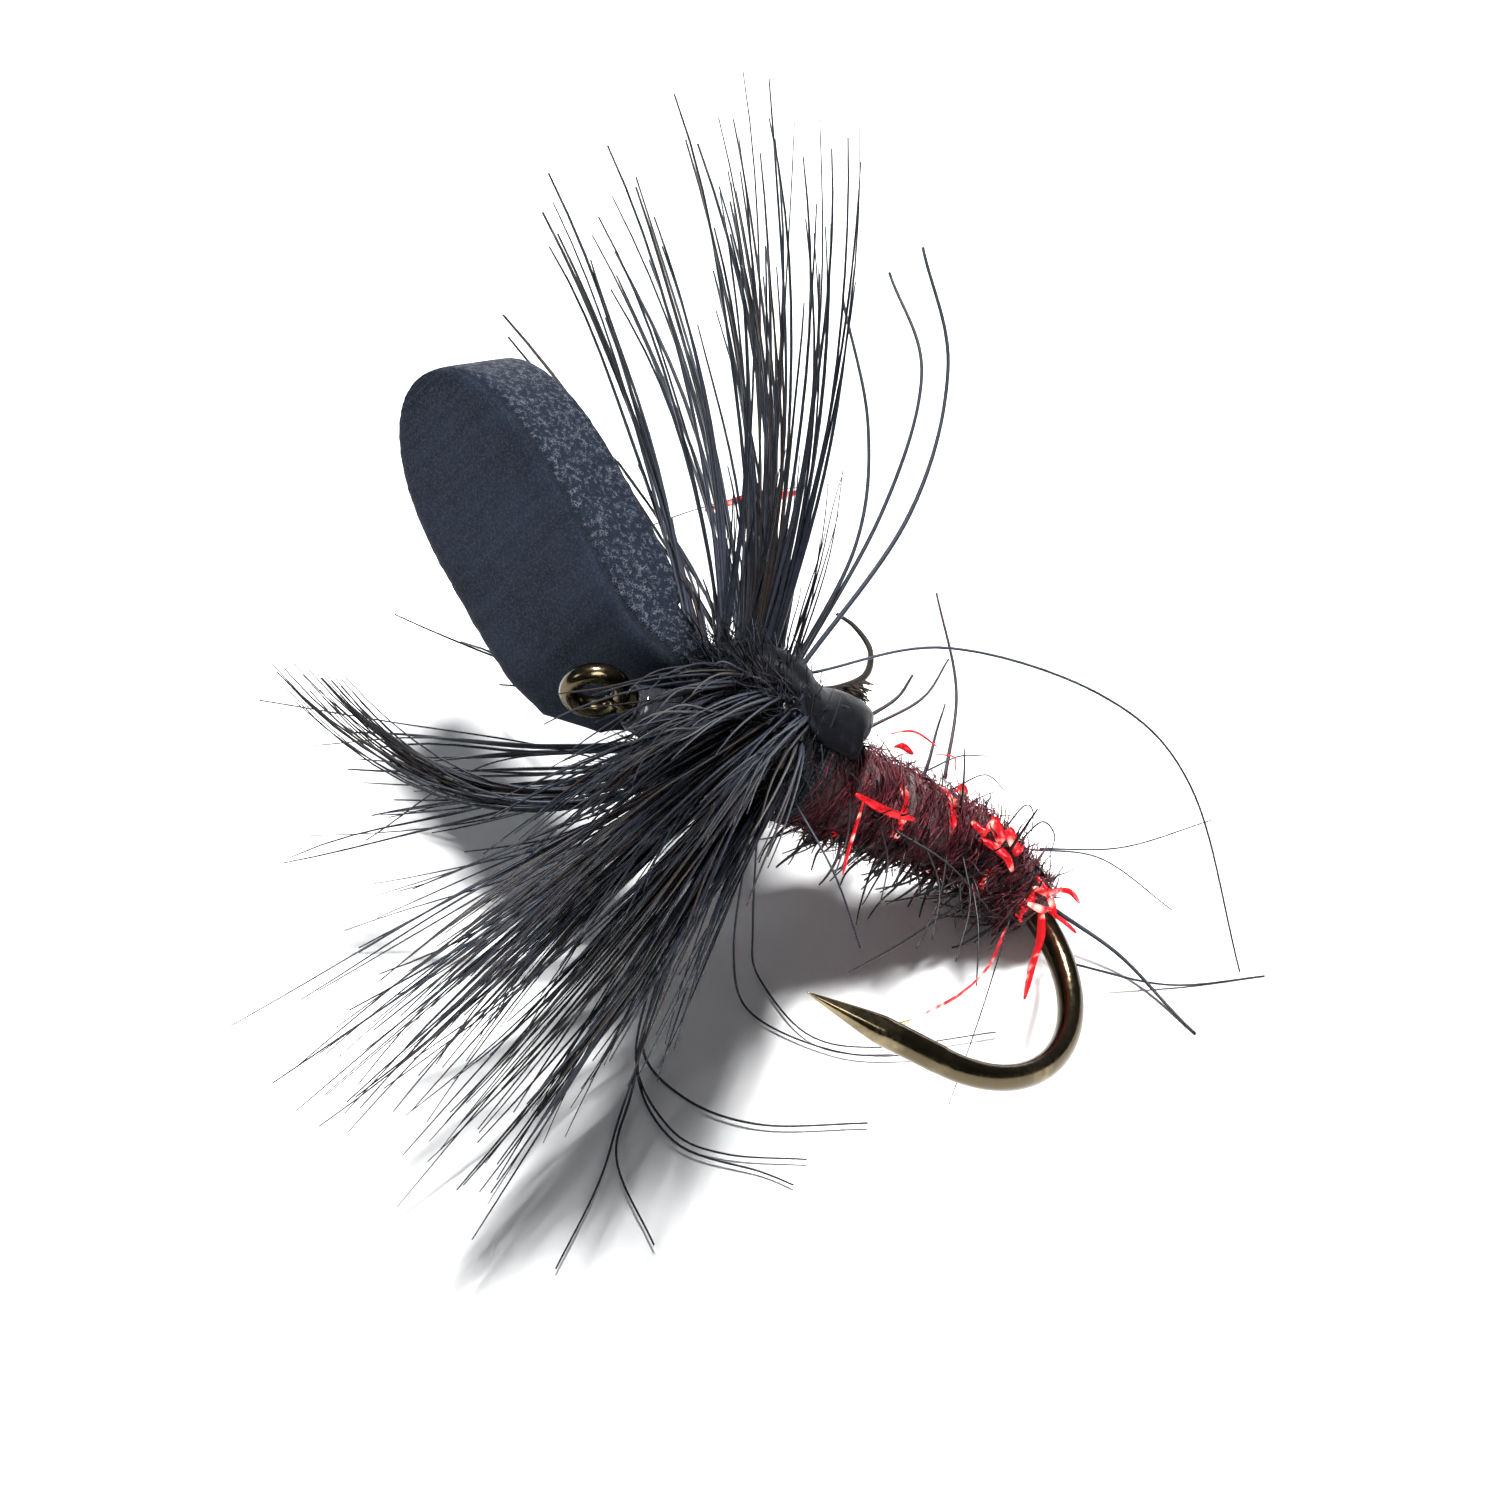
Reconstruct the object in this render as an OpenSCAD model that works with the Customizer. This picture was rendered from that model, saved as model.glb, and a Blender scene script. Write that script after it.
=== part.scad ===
// Dry fly on a bronze wire hook, lying on its side on a level surface.
// Row frame: origin at the centre of the hook eye, +Z up, +X towards the bend, +Y towards the fly's back.
// Fly frame: x rearwards along the shank, y towards the back, z out of the side that lies uppermost.

/* [Pose] */
// Nose-up pitch of the shank as the fly lies on its hackle tips and bend
pitch = 35; // [30:1:40]

/* [Hook] */
// Wire diameter of the shank and bend
wire_d = 0.56; // [0.5:0.02:0.6]
// Centre-line radius of the eye ring
eye_r = 0.5; // [0.48:0.01:0.54]
// Wire diameter of the eye ring
eye_wire_d = 0.44; // [0.4:0.01:0.46]
// Radius of the clear bore through the eye
eye_bore_r = 0.32; // [0.3:0.01:0.33]
// Distance from the eye centre to the start of the bend
shank_len = 8.2; // [8:0.1:8.6]
// Centre-line radius of the bend
bend_r = 2.9; // [2.85:0.01:3]
// Length of the spear from the bend to the point
spear_len = 3.2; // [3:0.1:3.4]

/* [Body] */
// Thickest diameter of the dubbed body
body_d = 2.0; // [2:0.05:2.26]
// Diameter of the dubbed body at its rear end
body_end_d = 1.12; // [1:0.04:1.2]
// Turns of tinsel rib round the body
rib_turns = 4; // [3:1:6]

/* [Foam] */
// Thickness of the foam sheet
foam_t = 2; // [1.6:0.1:2.1]
// Width of the foam strip
foam_w = 3.8; // [3.2:0.1:4]
// Length of the free foam paddle from its tie-down
paddle_len = 7; // [6.5:0.1:7.6]
// Angle of the paddle above the forward line of the shank
paddle_angle = 58; // [54:1:62]

/* [Hackle] */
// Longest barb of the hackle
barb_len = 11; // [9:0.5:11.5]
// Barb diameter at its root
barb_d = 0.1; // [0.08:0.01:0.12]
// Barbs in the rear hackle above the shank
top_barbs = 34; // [20:2:40]
// Barbs on each side of the rear hackle
side_barbs = 14; // [10:2:20]
// Barbs in the rear hackle below the shank
low_barbs = 16; // [10:2:20]
// Barbs on each side of the front hackle
front_barbs = 16; // [10:2:20]

/* [Hidden] */

wire_r = wire_d / 2;
gap = 0.02;
base_r = wire_r + 0.085;
head_x0 = 0.8;
head_x1 = 1.78;
waist_x0 = 1.88;
waist_x1 = 5.06;
waist_r = 0.47;
bundle_y = 0.5;
bundle_r = 1.21;
band_r = 1.42;
front_band_x = 2.1;
rear_band_x = 4.65;
band_w = 0.25;
stem_r = 0.11;
stem_ring = band_r - 0.06;
root_r = stem_ring + stem_r + 0.06;
front_x = 2.5;
rear_x = 3.55;
hinge_x = 1.05;
hinge_y = 1.35;
hinge_r = 0.75;
paddle_z = -0.65;
bend_end = -96;
body_x0 = 5.12;
body_y = 0.08;
body_turn_end = 36;
floor_z = -(sin(pitch) * (shank_len + bend_r) + wire_r);

// Repeatable value from 0 to 1 for each whole number
function noise(i) = let (v = sin(i * 137.51 + 23) * 917.31) v - floor(v);

// Fly frame set into the row frame
module at_fly()
    rotate([0, pitch, 0]) children();

// A flat outline in (y, z) carried along x
module along_x(x0, len)
    translate([x0, 0, 0]) rotate([90, 0, 90]) linear_extrude(len) children();

// An outline of (radius, x) turned about the x axis
module lathe_x(y0)
    translate([0, y0, 0]) rotate([0, 90, 0]) rotate_extrude($fn = 72) children();

// ---- swept surfaces ----
// A path frame is [centre, first axis, second axis]
function ring(f, r, n) =
    [for (i = [0:n - 1]) f[0] + r * cos(360 * i / n) * f[1] + r * sin(360 * i / n) * f[2]];
function wall(rows, n, o) = [for (s = [0:rows - 2]) for (i = [0:n - 1])
    let (a = o + s * n + i, b = o + s * n + (i + 1) % n) each [[a, a + n, b], [b, a + n, b + n]]];
function wall_in(rows, n, o) = [for (t = wall(rows, n, o)) [t[0], t[2], t[1]]];

// Solid rod swept along frames, with flat ends
module rod(frames, radii, n) {
    m = len(frames);
    pts = [for (s = [0:m - 1]) each ring(frames[s], radii[s], n)];
    ends = [[for (i = [0:n - 1]) i], [for (i = [n - 1:-1:0]) (m - 1) * n + i]];
    polyhedron(points = pts, faces = concat(wall(m, n, 0), ends), convexity = 8);
}

// Hollow sleeve swept along frames, outer and inner radius at each
module sleeve(frames, outer, inner, n) {
    m = len(frames);
    o = m * n;
    pts = concat([for (s = [0:m - 1]) each ring(frames[s], outer[s], n)],
                 [for (s = [0:m - 1]) each ring(frames[s], inner[s], n)]);
    front = [for (i = [0:n - 1]) let (j = (i + 1) % n) each [[i, j, o + i], [j, o + j, o + i]]];
    e = o - n;
    back = [for (i = [0:n - 1]) let (j = (i + 1) % n)
        each [[e + i, o + e + i, e + j], [e + j, o + e + i, o + e + j]]];
    polyhedron(points = pts, faces = concat(wall(m, n, 0), wall_in(m, n, o), front, back),
               convexity = 8);
}

// Body path: straight along the shank, then round the bend
straight = shank_len - body_x0;
turned = bend_r * (90 - body_turn_end) * PI / 180;
body_len = straight + turned;
function bend_angle(s) = 90 - (s - straight) * 180 / (PI * bend_r);
function body_frame(s, lift) = s <= straight
    ? [[body_x0 + s, lift, 0], [0, 1, 0], [0, 0, 1]]
    : let (a = bend_angle(s), u = [cos(a), sin(a), 0])
      [[shank_len, -bend_r, 0] + (bend_r + lift * max(0, 1 - (s - straight) / turned)) * u, u, [0, 0, 1]];
function body_r(s) = let (k = s / body_len)
    (body_d / 2) - (body_d - body_end_d) / 2 * pow(k, 1.6) - 0.22 * pow(max(0, 1 - s / 0.35), 2);

// ---- hook ----
module hook() color("#7d6238") at_fly() difference() {
    union() {
        rotate([90, 0, 0]) rotate_extrude($fn = 96) translate([eye_r, 0]) circle(d = eye_wire_d, $fn = 48);
        translate([eye_r - 0.04, 0, 0]) rotate([0, 90, 0]) cylinder(h = 0.3, r1 = 0.19, r2 = wire_r, $fn = 48);
        translate([eye_r + 0.26, 0, 0]) rotate([0, 90, 0])
            cylinder(h = shank_len - eye_r - 0.26, r = wire_r, $fn = 48);
        translate([shank_len, -bend_r, 0]) rotate([0, 0, bend_end])
            rotate_extrude(angle = 90 - bend_end, $fn = 144) translate([bend_r, 0]) circle(r = wire_r, $fn = 48);
        translate([shank_len, -bend_r, 0]) rotate([0, 0, bend_end]) translate([bend_r, 0, 0])
            rotate([90, 0, 0]) spear();
    }
    rotate([90, 0, 0]) cylinder(h = 2, r = eye_bore_r, center = true, $fn = 96);
}

// Spear along +z, tapering to the point, with the barb on its inner side
module spear() {
    cylinder(h = spear_len / 2, r = wire_r, $fn = 48);
    translate([0, 0, spear_len / 2]) cylinder(h = spear_len / 2, r1 = wire_r, r2 = 0.02, $fn = 48);
    translate([-wire_r + 0.1, 0, spear_len * 0.56]) rotate([0, -158, 0]) cylinder(h = 1, r1 = 0.13, r2 = 0.01, $fn = 24);
}

// ---- thread ----
module thread_base() color("#15151a") at_fly() lathe_x(0)
    polygon([[wire_r + 0.005, head_x1 + 0.04], [base_r, head_x1 + 0.04],
             [base_r, shank_len], [wire_r + 0.005, shank_len]]);

module thread_head() color("#101014") at_fly() lathe_x(0)
    polygon(concat([[wire_r + 0.005, head_x0]],
        [for (i = [0:16]) [0.4 + 0.1 * i / 16 + 0.018 * (i % 2), head_x0 + (head_x1 - head_x0) * i / 16]],
        [[wire_r + 0.005, head_x1]]));

module head_cement() color("#202024") at_fly() lathe_x(0)
    polygon([[0.455, 0.9], [0.475, 0.92], [0.545, 1.42], [0.53, 1.44]]);

module whip_finish() color("#141419") at_fly()
    for (i = [0:2]) lathe_x(0) translate([0.565, 1.5 + 0.1 * i]) circle(r = 0.042, $fn = 24);

module front_thread_band() color("#15151a") at_fly() band(front_band_x);

module rear_thread_band() color("#15151a") at_fly() band(rear_band_x);

module band(x0) lathe_x(bundle_y)
    polygon(concat([[bundle_r + 0.01, x0]],
        [for (i = [0:8]) [band_r - 0.02 * (i % 2), x0 + band_w * i / 8]], [[bundle_r + 0.01, x0 + band_w]]));

// ---- foam ----
// Section of the foam where the thread crushes it
module waist_outline() translate([0.96, 0]) {
    square([2 * waist_r, 1], center = true);
    for (s = [-1, 1]) translate([0, s * 0.5]) circle(r = waist_r, $fn = 48);
}

module foam_back() color("#1c2026") at_fly() {
    along_x(waist_x0, waist_x1 - waist_x0) waist_outline();
    translate([0, 0.22, 0]) rotate([0, 90, 0]) rotate([0, 0, 15]) rotate_extrude(angle = 192, $fn = 72)
        polygon([[0.42, 4.93], [1.55, 4.93], [1.56, 5.5], [1.5, 5.72], [1.38, 5.88], [1.2, 5.96],
                 [1.19, 5.06], [0.42, 5.06]]);
}

module foam_paddle() color("#262b33") at_fly() translate([hinge_x, hinge_y, paddle_z]) {
    cylinder(h = foam_w * 0.78, r = hinge_r, center = true, $fn = 72);
    rotate([0, 0, 180 - paddle_angle]) intersection() {
        linear_extrude(foam_w + 1, center = true) polygon([
            [0.1, -0.72], [0.75, -foam_t / 2], [paddle_len + 1, -foam_t / 2],
            [paddle_len + 1, foam_t / 2], [0.95, foam_t / 2], [0.1, 0.72]]);
        rotate([90, 0, 0]) linear_extrude(foam_t + 1, center = true) polygon(paddle_outline());
    }
}

paddle_mid = 3.6;
function paddle_half(t) = let (q = t > paddle_mid ? (t - paddle_mid) / (paddle_len - paddle_mid)
    : (paddle_mid - t) / (paddle_mid + 3.2)) foam_w / 2 * pow(max(0, 1 - pow(q, 2.3)), 1 / 2.3);
function paddle_t(i) = 0.1 + (paddle_len - 0.1) * (1 - pow(1 - i / 28, 2));
function paddle_outline() = concat([for (i = [0:27]) [paddle_t(i), paddle_half(paddle_t(i))]],
    [[paddle_len, 0]], [for (i = [27:-1:0]) [paddle_t(i), -paddle_half(paddle_t(i))]]);

// ---- dubbing and tinsel ----
module thorax_dubbing() color("#17161c") at_fly() difference() {
    lathe_x(bundle_y) polygon([[0, front_band_x], [bundle_r, front_band_x],
        [bundle_r, rear_band_x + band_w], [0, rear_band_x + band_w]]);
    along_x(waist_x0 - 1, 6) loose_waist_outline();
    rotate([0, 90, 0]) cylinder(h = 8, r = base_r + gap, $fn = 72);
}

// The crushed section with a little room round it
module loose_waist_outline() translate([0.96, 0]) {
    square([2 * (waist_r + gap), 1], center = true);
    for (s = [-1, 1]) translate([0, s * 0.5]) circle(r = waist_r + gap, $fn = 48);
}

body_steps = 42;
module body_dubbing() color("#4a121c") at_fly() {
    s = [for (i = [0:body_steps]) body_len * i / body_steps];
    frames = [for (v = s) body_frame(v, body_y)];
    bores = [for (v = s) body_frame(v, 0)];
    body_sleeve(frames, bores, [for (i = [0:body_steps]) body_r(s[i]) - 0.045 * (i % 3 == 0 ? 1 : 0)]);
}

// Dubbed sleeve whose bore follows the hook while its skin is set towards the back
module body_sleeve(frames, bores, outer, n = 24) {
    m = len(frames);
    o = m * n;
    e = o - n;
    pts = concat([for (s = [0:m - 1]) each ring(frames[s], outer[s], n)],
                 [for (s = [0:m - 1]) each ring(bores[s], base_r + gap, n)]);
    front = [for (i = [0:n - 1]) let (j = (i + 1) % n) each [[i, j, o + i], [j, o + j, o + i]]];
    back = [for (i = [0:n - 1]) let (j = (i + 1) % n)
        each [[e + i, o + e + i, e + j], [e + j, o + e + i, o + e + j]]];
    polyhedron(points = pts, faces = concat(wall(m, n, 0), wall_in(m, n, o), front, back), convexity = 8);
}

rib_steps = 30 * rib_turns;
rib_start = 1.15;
function rib_s(i) = rib_start + (body_len - rib_start - 0.5) * i / rib_steps;
function rib_angle(i) = 360 * rib_turns * i / rib_steps + 200;
function rib_out(i) = let (f = body_frame(rib_s(i), body_y))
    cos(rib_angle(i)) * f[1] + sin(rib_angle(i)) * f[2];
function rib_at(i) = body_frame(rib_s(i), body_y)[0] + (body_r(rib_s(i)) + 0.07) * rib_out(i);
function unit(v) = v / norm(v);
module tinsel_rib() color("#c01018") at_fly() {
    frames = [for (i = [0:rib_steps]) let (t = unit(rib_at(i + 0.5) - rib_at(i - 0.5)), u = rib_out(i))
        [rib_at(i), u, unit(cross(t, u))]];
    rod(frames, [for (i = [0:rib_steps]) 0.05], 6);
}

// Thin straight fibre from one point to another
module fibre(p, q, r) {
    d = q - p;
    translate(p) rotate([0, acos(d[2] / norm(d)), atan2(d[1], d[0])])
        cylinder(h = norm(d), r1 = r, r2 = r * 0.4, $fn = 8);
}

module tinsel_tag() color("#e0202a") at_fly() {
    fibre([10.35, -1.78, 0.6], [10.05, -3.3, 0.7], 0.07);
    fibre([10.75, -1.72, 0.45], [11.1, -1.3, 1], 0.05);
    fibre([10.9, -1.75, 0.3], [11.5, -2.1, 0.7], 0.045);
}

// ---- hackle ----
module stem(x0, turns, rise) {
    n = 30 * turns;
    rod([for (i = [0:n]) let (a = 360 * turns * i / n, u = [0, cos(a), sin(a)])
        [[x0 + rise * turns * i / n, bundle_y, 0] + stem_ring * u, u, [1, 0, 0]]],
        [for (i = [0:n]) stem_r - 0.03 * i / n], 8);
}

module front_hackle_stem() color("#2a2622") at_fly() stem(front_x, 3, 0.24);

module rear_hackle_stem() color("#2a2622") at_fly() stem(rear_x, 3, 0.24);

// Point on the bundle at an angle from the back, turning towards the uppermost side
function tip_height(x0, phi, lean, len) = -sin(pitch) * (x0 - len * sin(lean))
    + cos(pitch) * sin(phi) * (root_r + len * cos(lean));
// Least forward lean, from the one asked for, that keeps a barb tip on or above the surface
function clear_lean(x0, phi, lean, len) =
    lean > 70 || tip_height(x0, phi, lean, len) > floor_z + 0.04 ? lean : clear_lean(x0, phi, lean + 0.5, len);

module barb(x0, phi, lean, len)
    translate([x0, bundle_y, 0]) rotate([phi - 90, 0, 0]) translate([0, 0, root_r])
        rotate([0, -clear_lean(x0, phi, lean, len), 0])
            cylinder(h = len, r1 = barb_d / 2, r2 = 0.016, $fn = 8);

// Fan of barbs over a span of angles; x and lean run together so that no two barbs cross
module fan(n, phi0, phi1, x0, x1, lean0, lean1, key) {
    for (i = [0:n - 1]) {
        k = (i * 5 % 7) / 6;
        phi = phi0 + (phi1 - phi0) * (i + 0.3 + 0.4 * noise(i + key)) / n;
        barb(x0 + (x1 - x0) * k, phi, lean0 + (lean1 - lean0) * k, barb_len * (0.82 + 0.18 * noise(3 * i + key)));
    }
}

module front_hackle_upper_barbs() color("#1b1d22") at_fly()
    fan(front_barbs, 62, 118, front_x, front_x + 0.7, 42, 34, 1);

module front_hackle_under_barbs() color("#1b1d22") at_fly()
    fan(front_barbs, 236, 284, front_x, front_x + 0.7, 46, 41, 2);

module front_hackle_low_barbs() color("#1b1d22") at_fly() {
    fan(front_barbs, 121, 172, front_x, front_x + 0.7, 41, 33, 3);
    fan(front_barbs, 188, 234, front_x, front_x + 0.7, 41, 33, 4);
}

module rear_hackle_top_barbs() color("#1b1d22") at_fly()
    fan(top_barbs, -42, 60, rear_x, rear_x + 0.8, 31, 2, 5);

module rear_hackle_upper_barbs() color("#1b1d22") at_fly()
    fan(side_barbs, 62, 118, rear_x, rear_x + 0.7, 30, 18, 6);

module rear_hackle_under_barbs() color("#1b1d22") at_fly()
    fan(side_barbs + 6, 238, 312, rear_x, rear_x + 0.7, 26, 14, 7);

module rear_hackle_low_barbs() color("#1b1d22") at_fly() {
    fan(low_barbs, 121, 172, rear_x, rear_x + 0.45, 30, 24, 8);
    fan(low_barbs, 188, 236, rear_x, rear_x + 0.45, 30, 24, 9);
}

module stray_barbs() color("#1b1d22") at_fly() {
    fibre([4.45, 1.85, 1.25], [13, -1.4, 2.6], 0.035);
    fibre([4.4, 2.1, 0.9], [6.2, 9.4, 4.4], 0.04);
    fibre([4.42, 1.3, 1.6], [5.4, 6.4, 7.2], 0.035);
}

// ---- loose fibres ----
// Guard hair standing on the dubbing at a distance along the body and an angle from the back
module guard_hair(s, a, len, tilt) {
    f = body_frame(s, body_y);
    u = cos(a) * f[1] + sin(a) * f[2];
    p = f[0] + (body_r(s) + 0.14) * u;
    fibre(p, p + len * unit(u + tilt * unit(cross(f[2], f[1]))), 0.026);
}

hair_count = 26;
module guard_hairs() color("#121013") at_fly() {
    for (i = [0:hair_count - 1]) {
        s = 1 + (body_len - 1.3) * (i + 0.5) / hair_count;
        low = -95 + 85 * s / body_len;
        guard_hair(s, low + (95 - low) * noise(i + 40), 0.5 + 0.9 * noise(i + 60), noise(i + 80) - 0.6);
    }
    guard_hair(2.1, 28, 3.4, -0.35);
    guard_hair(1.1, 40, 1.9, -0.8);
    guard_hair(body_len - 0.25, 95, 3.4, -0.9);
    guard_hair(body_len - 0.5, 60, 2.7, -0.2);
}

module flash_strands() color("#ff2030") at_fly() {
    fibre([2.3, 6.2, -1], [5.3, 6.2, 1.9], 0.035);
    fibre([6.6, 1.3, 0.7], [7.5, 1.65, 1.2], 0.03);
    fibre([8.1, 0.95, 0.85], [8.9, 1.1, 1.3], 0.03);
}

module feather_flue() color("#2b2119") at_fly() translate([5.45, 2.75, 0.55]) {
    rotate([0, 0, -100]) rotate_extrude(angle = 165, $fn = 72) translate([0.72, 0]) circle(r = 0.05, $fn = 16);
    translate([0, 0, -0.03]) linear_extrude(0.06) polygon([[-0.16, -0.72], [0.42, -0.86], [0.3, -0.52]]);
}

hook();
thread_base();
thread_head();
head_cement();
whip_finish();
front_thread_band();
rear_thread_band();
thorax_dubbing();
foam_back();
foam_paddle();
body_dubbing();
tinsel_rib();
tinsel_tag();
front_hackle_stem();
rear_hackle_stem();
front_hackle_upper_barbs();
front_hackle_under_barbs();
front_hackle_low_barbs();
rear_hackle_top_barbs();
rear_hackle_upper_barbs();
rear_hackle_under_barbs();
rear_hackle_low_barbs();
stray_barbs();
guard_hairs();
flash_strands();
feather_flue();
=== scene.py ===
"""Dry fly on a bronze hook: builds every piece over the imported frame, with its stage and camera."""
import math

import bpy
import numpy as np
from bpy.props import FloatProperty, FloatVectorProperty, IntProperty, PointerProperty
from bpy.types import Operator, Panel, PropertyGroup
from mathutils import Matrix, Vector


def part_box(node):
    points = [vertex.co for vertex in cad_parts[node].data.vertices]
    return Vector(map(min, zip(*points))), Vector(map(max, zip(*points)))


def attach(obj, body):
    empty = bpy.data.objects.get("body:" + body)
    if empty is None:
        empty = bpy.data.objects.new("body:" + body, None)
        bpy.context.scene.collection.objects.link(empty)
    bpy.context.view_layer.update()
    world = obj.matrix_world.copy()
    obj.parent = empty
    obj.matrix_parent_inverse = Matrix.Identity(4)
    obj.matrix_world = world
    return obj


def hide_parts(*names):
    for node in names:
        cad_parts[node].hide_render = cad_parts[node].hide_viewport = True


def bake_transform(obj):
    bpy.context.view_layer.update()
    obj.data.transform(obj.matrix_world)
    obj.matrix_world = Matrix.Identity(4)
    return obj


bl_info = {
    "name": "Dry Fly",
    "version": (1, 0, 0),
    "blender": (4, 5, 0),
    "location": "View3D > Sidebar > Dry Fly",
    "description": "Builds a hackled dry fly on a bronze hook, piece by piece",
    "category": "Add Mesh",
}

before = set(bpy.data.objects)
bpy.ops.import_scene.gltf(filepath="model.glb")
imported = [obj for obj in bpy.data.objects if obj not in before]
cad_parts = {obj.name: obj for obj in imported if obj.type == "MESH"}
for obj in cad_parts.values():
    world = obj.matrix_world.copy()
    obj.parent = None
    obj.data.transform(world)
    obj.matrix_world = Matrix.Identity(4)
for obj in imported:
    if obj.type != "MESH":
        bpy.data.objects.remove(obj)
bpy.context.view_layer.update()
MM = 0.001
SURFACE_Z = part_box("hook")[0].z

# The shank's nose-up pitch, and the sizes of the tied pieces in the fly frame, in millimetres:
# x runs rearwards along the shank, y towards the back, z out of the side that lies uppermost.
PITCH = math.radians(35)
WIRE_R = 0.28
SHANK = 8.2
BEND_R = 2.9
BEND_END = math.radians(-96)
SPEAR = 3.2
EYE_R = 0.5
BODY_X0 = 4.85
BODY_LIFT = 0.08
BODY_TURN = math.radians(50)
STRAIGHT = SHANK - BODY_X0
BODY_LEN = STRAIGHT + BEND_R * BODY_TURN
BUNDLE_Y = 0.5
FRONT_X = 2.5
REAR_X = 3.55
HINGE = np.array([1.05, 1.35, -0.65])
PADDLE_UP = math.radians(58)


# ---------------------------------------------------------------- shapes

def to_row(points):
    """Fly-frame millimetres to row metres: x' = x cos p + z sin p, y' = y, z' = z cos p - x sin p."""
    x, y, z = np.moveaxis(np.asarray(points, float), -1, 0)
    c, s = math.cos(PITCH), math.sin(PITCH)
    return np.stack([x * c + z * s, y, z * c - x * s], -1) * MM


def to_fly(points):
    """Row metres back to fly-frame millimetres, the inverse of to_row."""
    x, y, z = np.moveaxis(np.asarray(points, float) / MM, -1, 0)
    c, s = math.cos(PITCH), math.sin(PITCH)
    return np.stack([x * c - z * s, y, x * s + z * c], -1)


def unit(v):
    """Vectors divided by their lengths."""
    return v / np.maximum(np.linalg.norm(v, axis=-1, keepdims=True), 1e-12)


def mesh_object(name, verts, quads, tris, values):
    """A mesh from whole arrays of corners, four-sided and three-sided faces, and named values per corner."""
    mesh = bpy.data.meshes.new(name)
    loops = np.concatenate([quads.ravel(), tris.ravel()]).astype(np.int32)
    sides = np.concatenate([np.full(len(quads), 4), np.full(len(tris), 3)])
    mesh.vertices.add(len(verts))
    mesh.vertices.foreach_set("co", np.ascontiguousarray(verts, np.float32).ravel())
    mesh.loops.add(len(loops))
    mesh.loops.foreach_set("vertex_index", loops)
    mesh.polygons.add(len(sides))
    mesh.polygons.foreach_set("loop_start", np.concatenate([[0], np.cumsum(sides)[:-1]]).astype(np.int32))
    mesh.polygons.foreach_set("use_smooth", np.ones(len(sides), bool))
    mesh.update(calc_edges=True)
    for key, value in values.items():
        layer = mesh.attributes.new(key, "FLOAT", "POINT")
        layer.data.foreach_set("value", np.ascontiguousarray(value, np.float32).ravel())
    piece = bpy.data.objects.new(name, mesh)
    bpy.context.scene.collection.objects.link(piece)
    return piece


def skins(name, rings, **values):
    """Closed tubes from an array (tube, station, side, xyz) of fly-frame points.

    Each station is a ring; neighbouring rings are joined by quads, and each end closes on its ring's
    centre with triangles. A value array (tube, station, side) becomes a named value of each corner.
    """
    n, m, k = rings.shape[:3]
    ids = np.arange(n * m * k).reshape(n, m, k)
    turn = np.roll(ids, -1, 2)
    quads = np.stack([ids[:, :-1], turn[:, :-1], turn[:, 1:], ids[:, 1:]], -1).reshape(-1, 4)
    root = n * m * k + np.arange(n)[:, None] + np.zeros((1, k), int)
    tip = root + n
    tris = np.concatenate([
        np.stack([root, turn[:, 0], ids[:, 0]], -1).reshape(-1, 3),
        np.stack([tip, ids[:, -1], turn[:, -1]], -1).reshape(-1, 3)])
    verts = np.concatenate([rings.reshape(-1, 3), rings[:, 0].mean(1), rings[:, -1].mean(1)])
    out = {}
    for key, value in values.items():
        full = np.broadcast_to(value, (n, m, k))
        out[key] = np.concatenate([full.ravel(), full[:, 0, 0], full[:, -1, 0]])
    return mesh_object(name, to_row(verts), quads, tris, out)


def ring_points(centres, wide, sides, ref, thick=None):
    """Rings round paths: centre + wide cos t A + thick sin t B, with A, B square to the path.

    centres is (path, station, xyz), wide and thick (path, station) or (path, station, side), and A is
    the part of ref that is square to the path there.
    """
    along = unit(np.gradient(centres, axis=1))
    a = unit(ref - (ref * along).sum(-1, keepdims=True) * along)
    b = np.cross(along, a)
    t = np.linspace(0, 2 * math.pi, sides, endpoint=False)
    wide = np.asarray(wide, float)
    thick = wide if thick is None else np.asarray(thick, float)
    wide = wide[..., None] if wide.ndim == 2 else wide
    thick = thick[..., None] if thick.ndim == 2 else thick
    return (centres[:, :, None] + (wide * np.cos(t))[..., None] * a[:, :, None]
            + (thick * np.sin(t))[..., None] * b[:, :, None])


def tubes(name, centres, radii, sides, ref, thick=None, tone=0.0):
    """Round or flat strands along paths, with the distance along each and its own tone as values."""
    rings = ring_points(centres, radii, sides, ref, thick)
    n, m = centres.shape[:2]
    along = np.linspace(0, 1, m)[None, :, None]
    tone = np.broadcast_to(np.asarray(tone, float), (n,))[:, None, None]
    return skins(name, rings, along=along, tone=tone)


def bent_paths(root, start, end, length, stations, wave=0.0, phase=0.0, side=None):
    """Paths that leave along start and arrive along end: root + L (start (t - t^2/2) + end t^2/2).

    A small ripple wave t sin(phase + 7 t) is added along side.
    """
    t = np.linspace(0, 1, stations)[None, :, None]
    path = root[:, None] + length[:, None, None] * (start[:, None] * (t - t * t / 2) + end[:, None] * t * t / 2)
    if side is not None:
        ripple = np.asarray(wave)[..., None, None] * t * np.sin(np.asarray(phase)[..., None, None] + 7 * t)
        path = path + ripple * side[:, None]
    return path


def keep_above(path, room=0.02):
    """Fly-frame points lifted so that none is under the surface: height = h + s log(1 + exp((z - h) / s))."""
    row = to_row(path)
    floor = SURFACE_Z + room * MM
    soft = 0.12 * MM
    over = (row[..., 2] - floor) / soft
    row[..., 2] = floor + soft * np.logaddexp(0, over)
    return to_fly(row)


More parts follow.
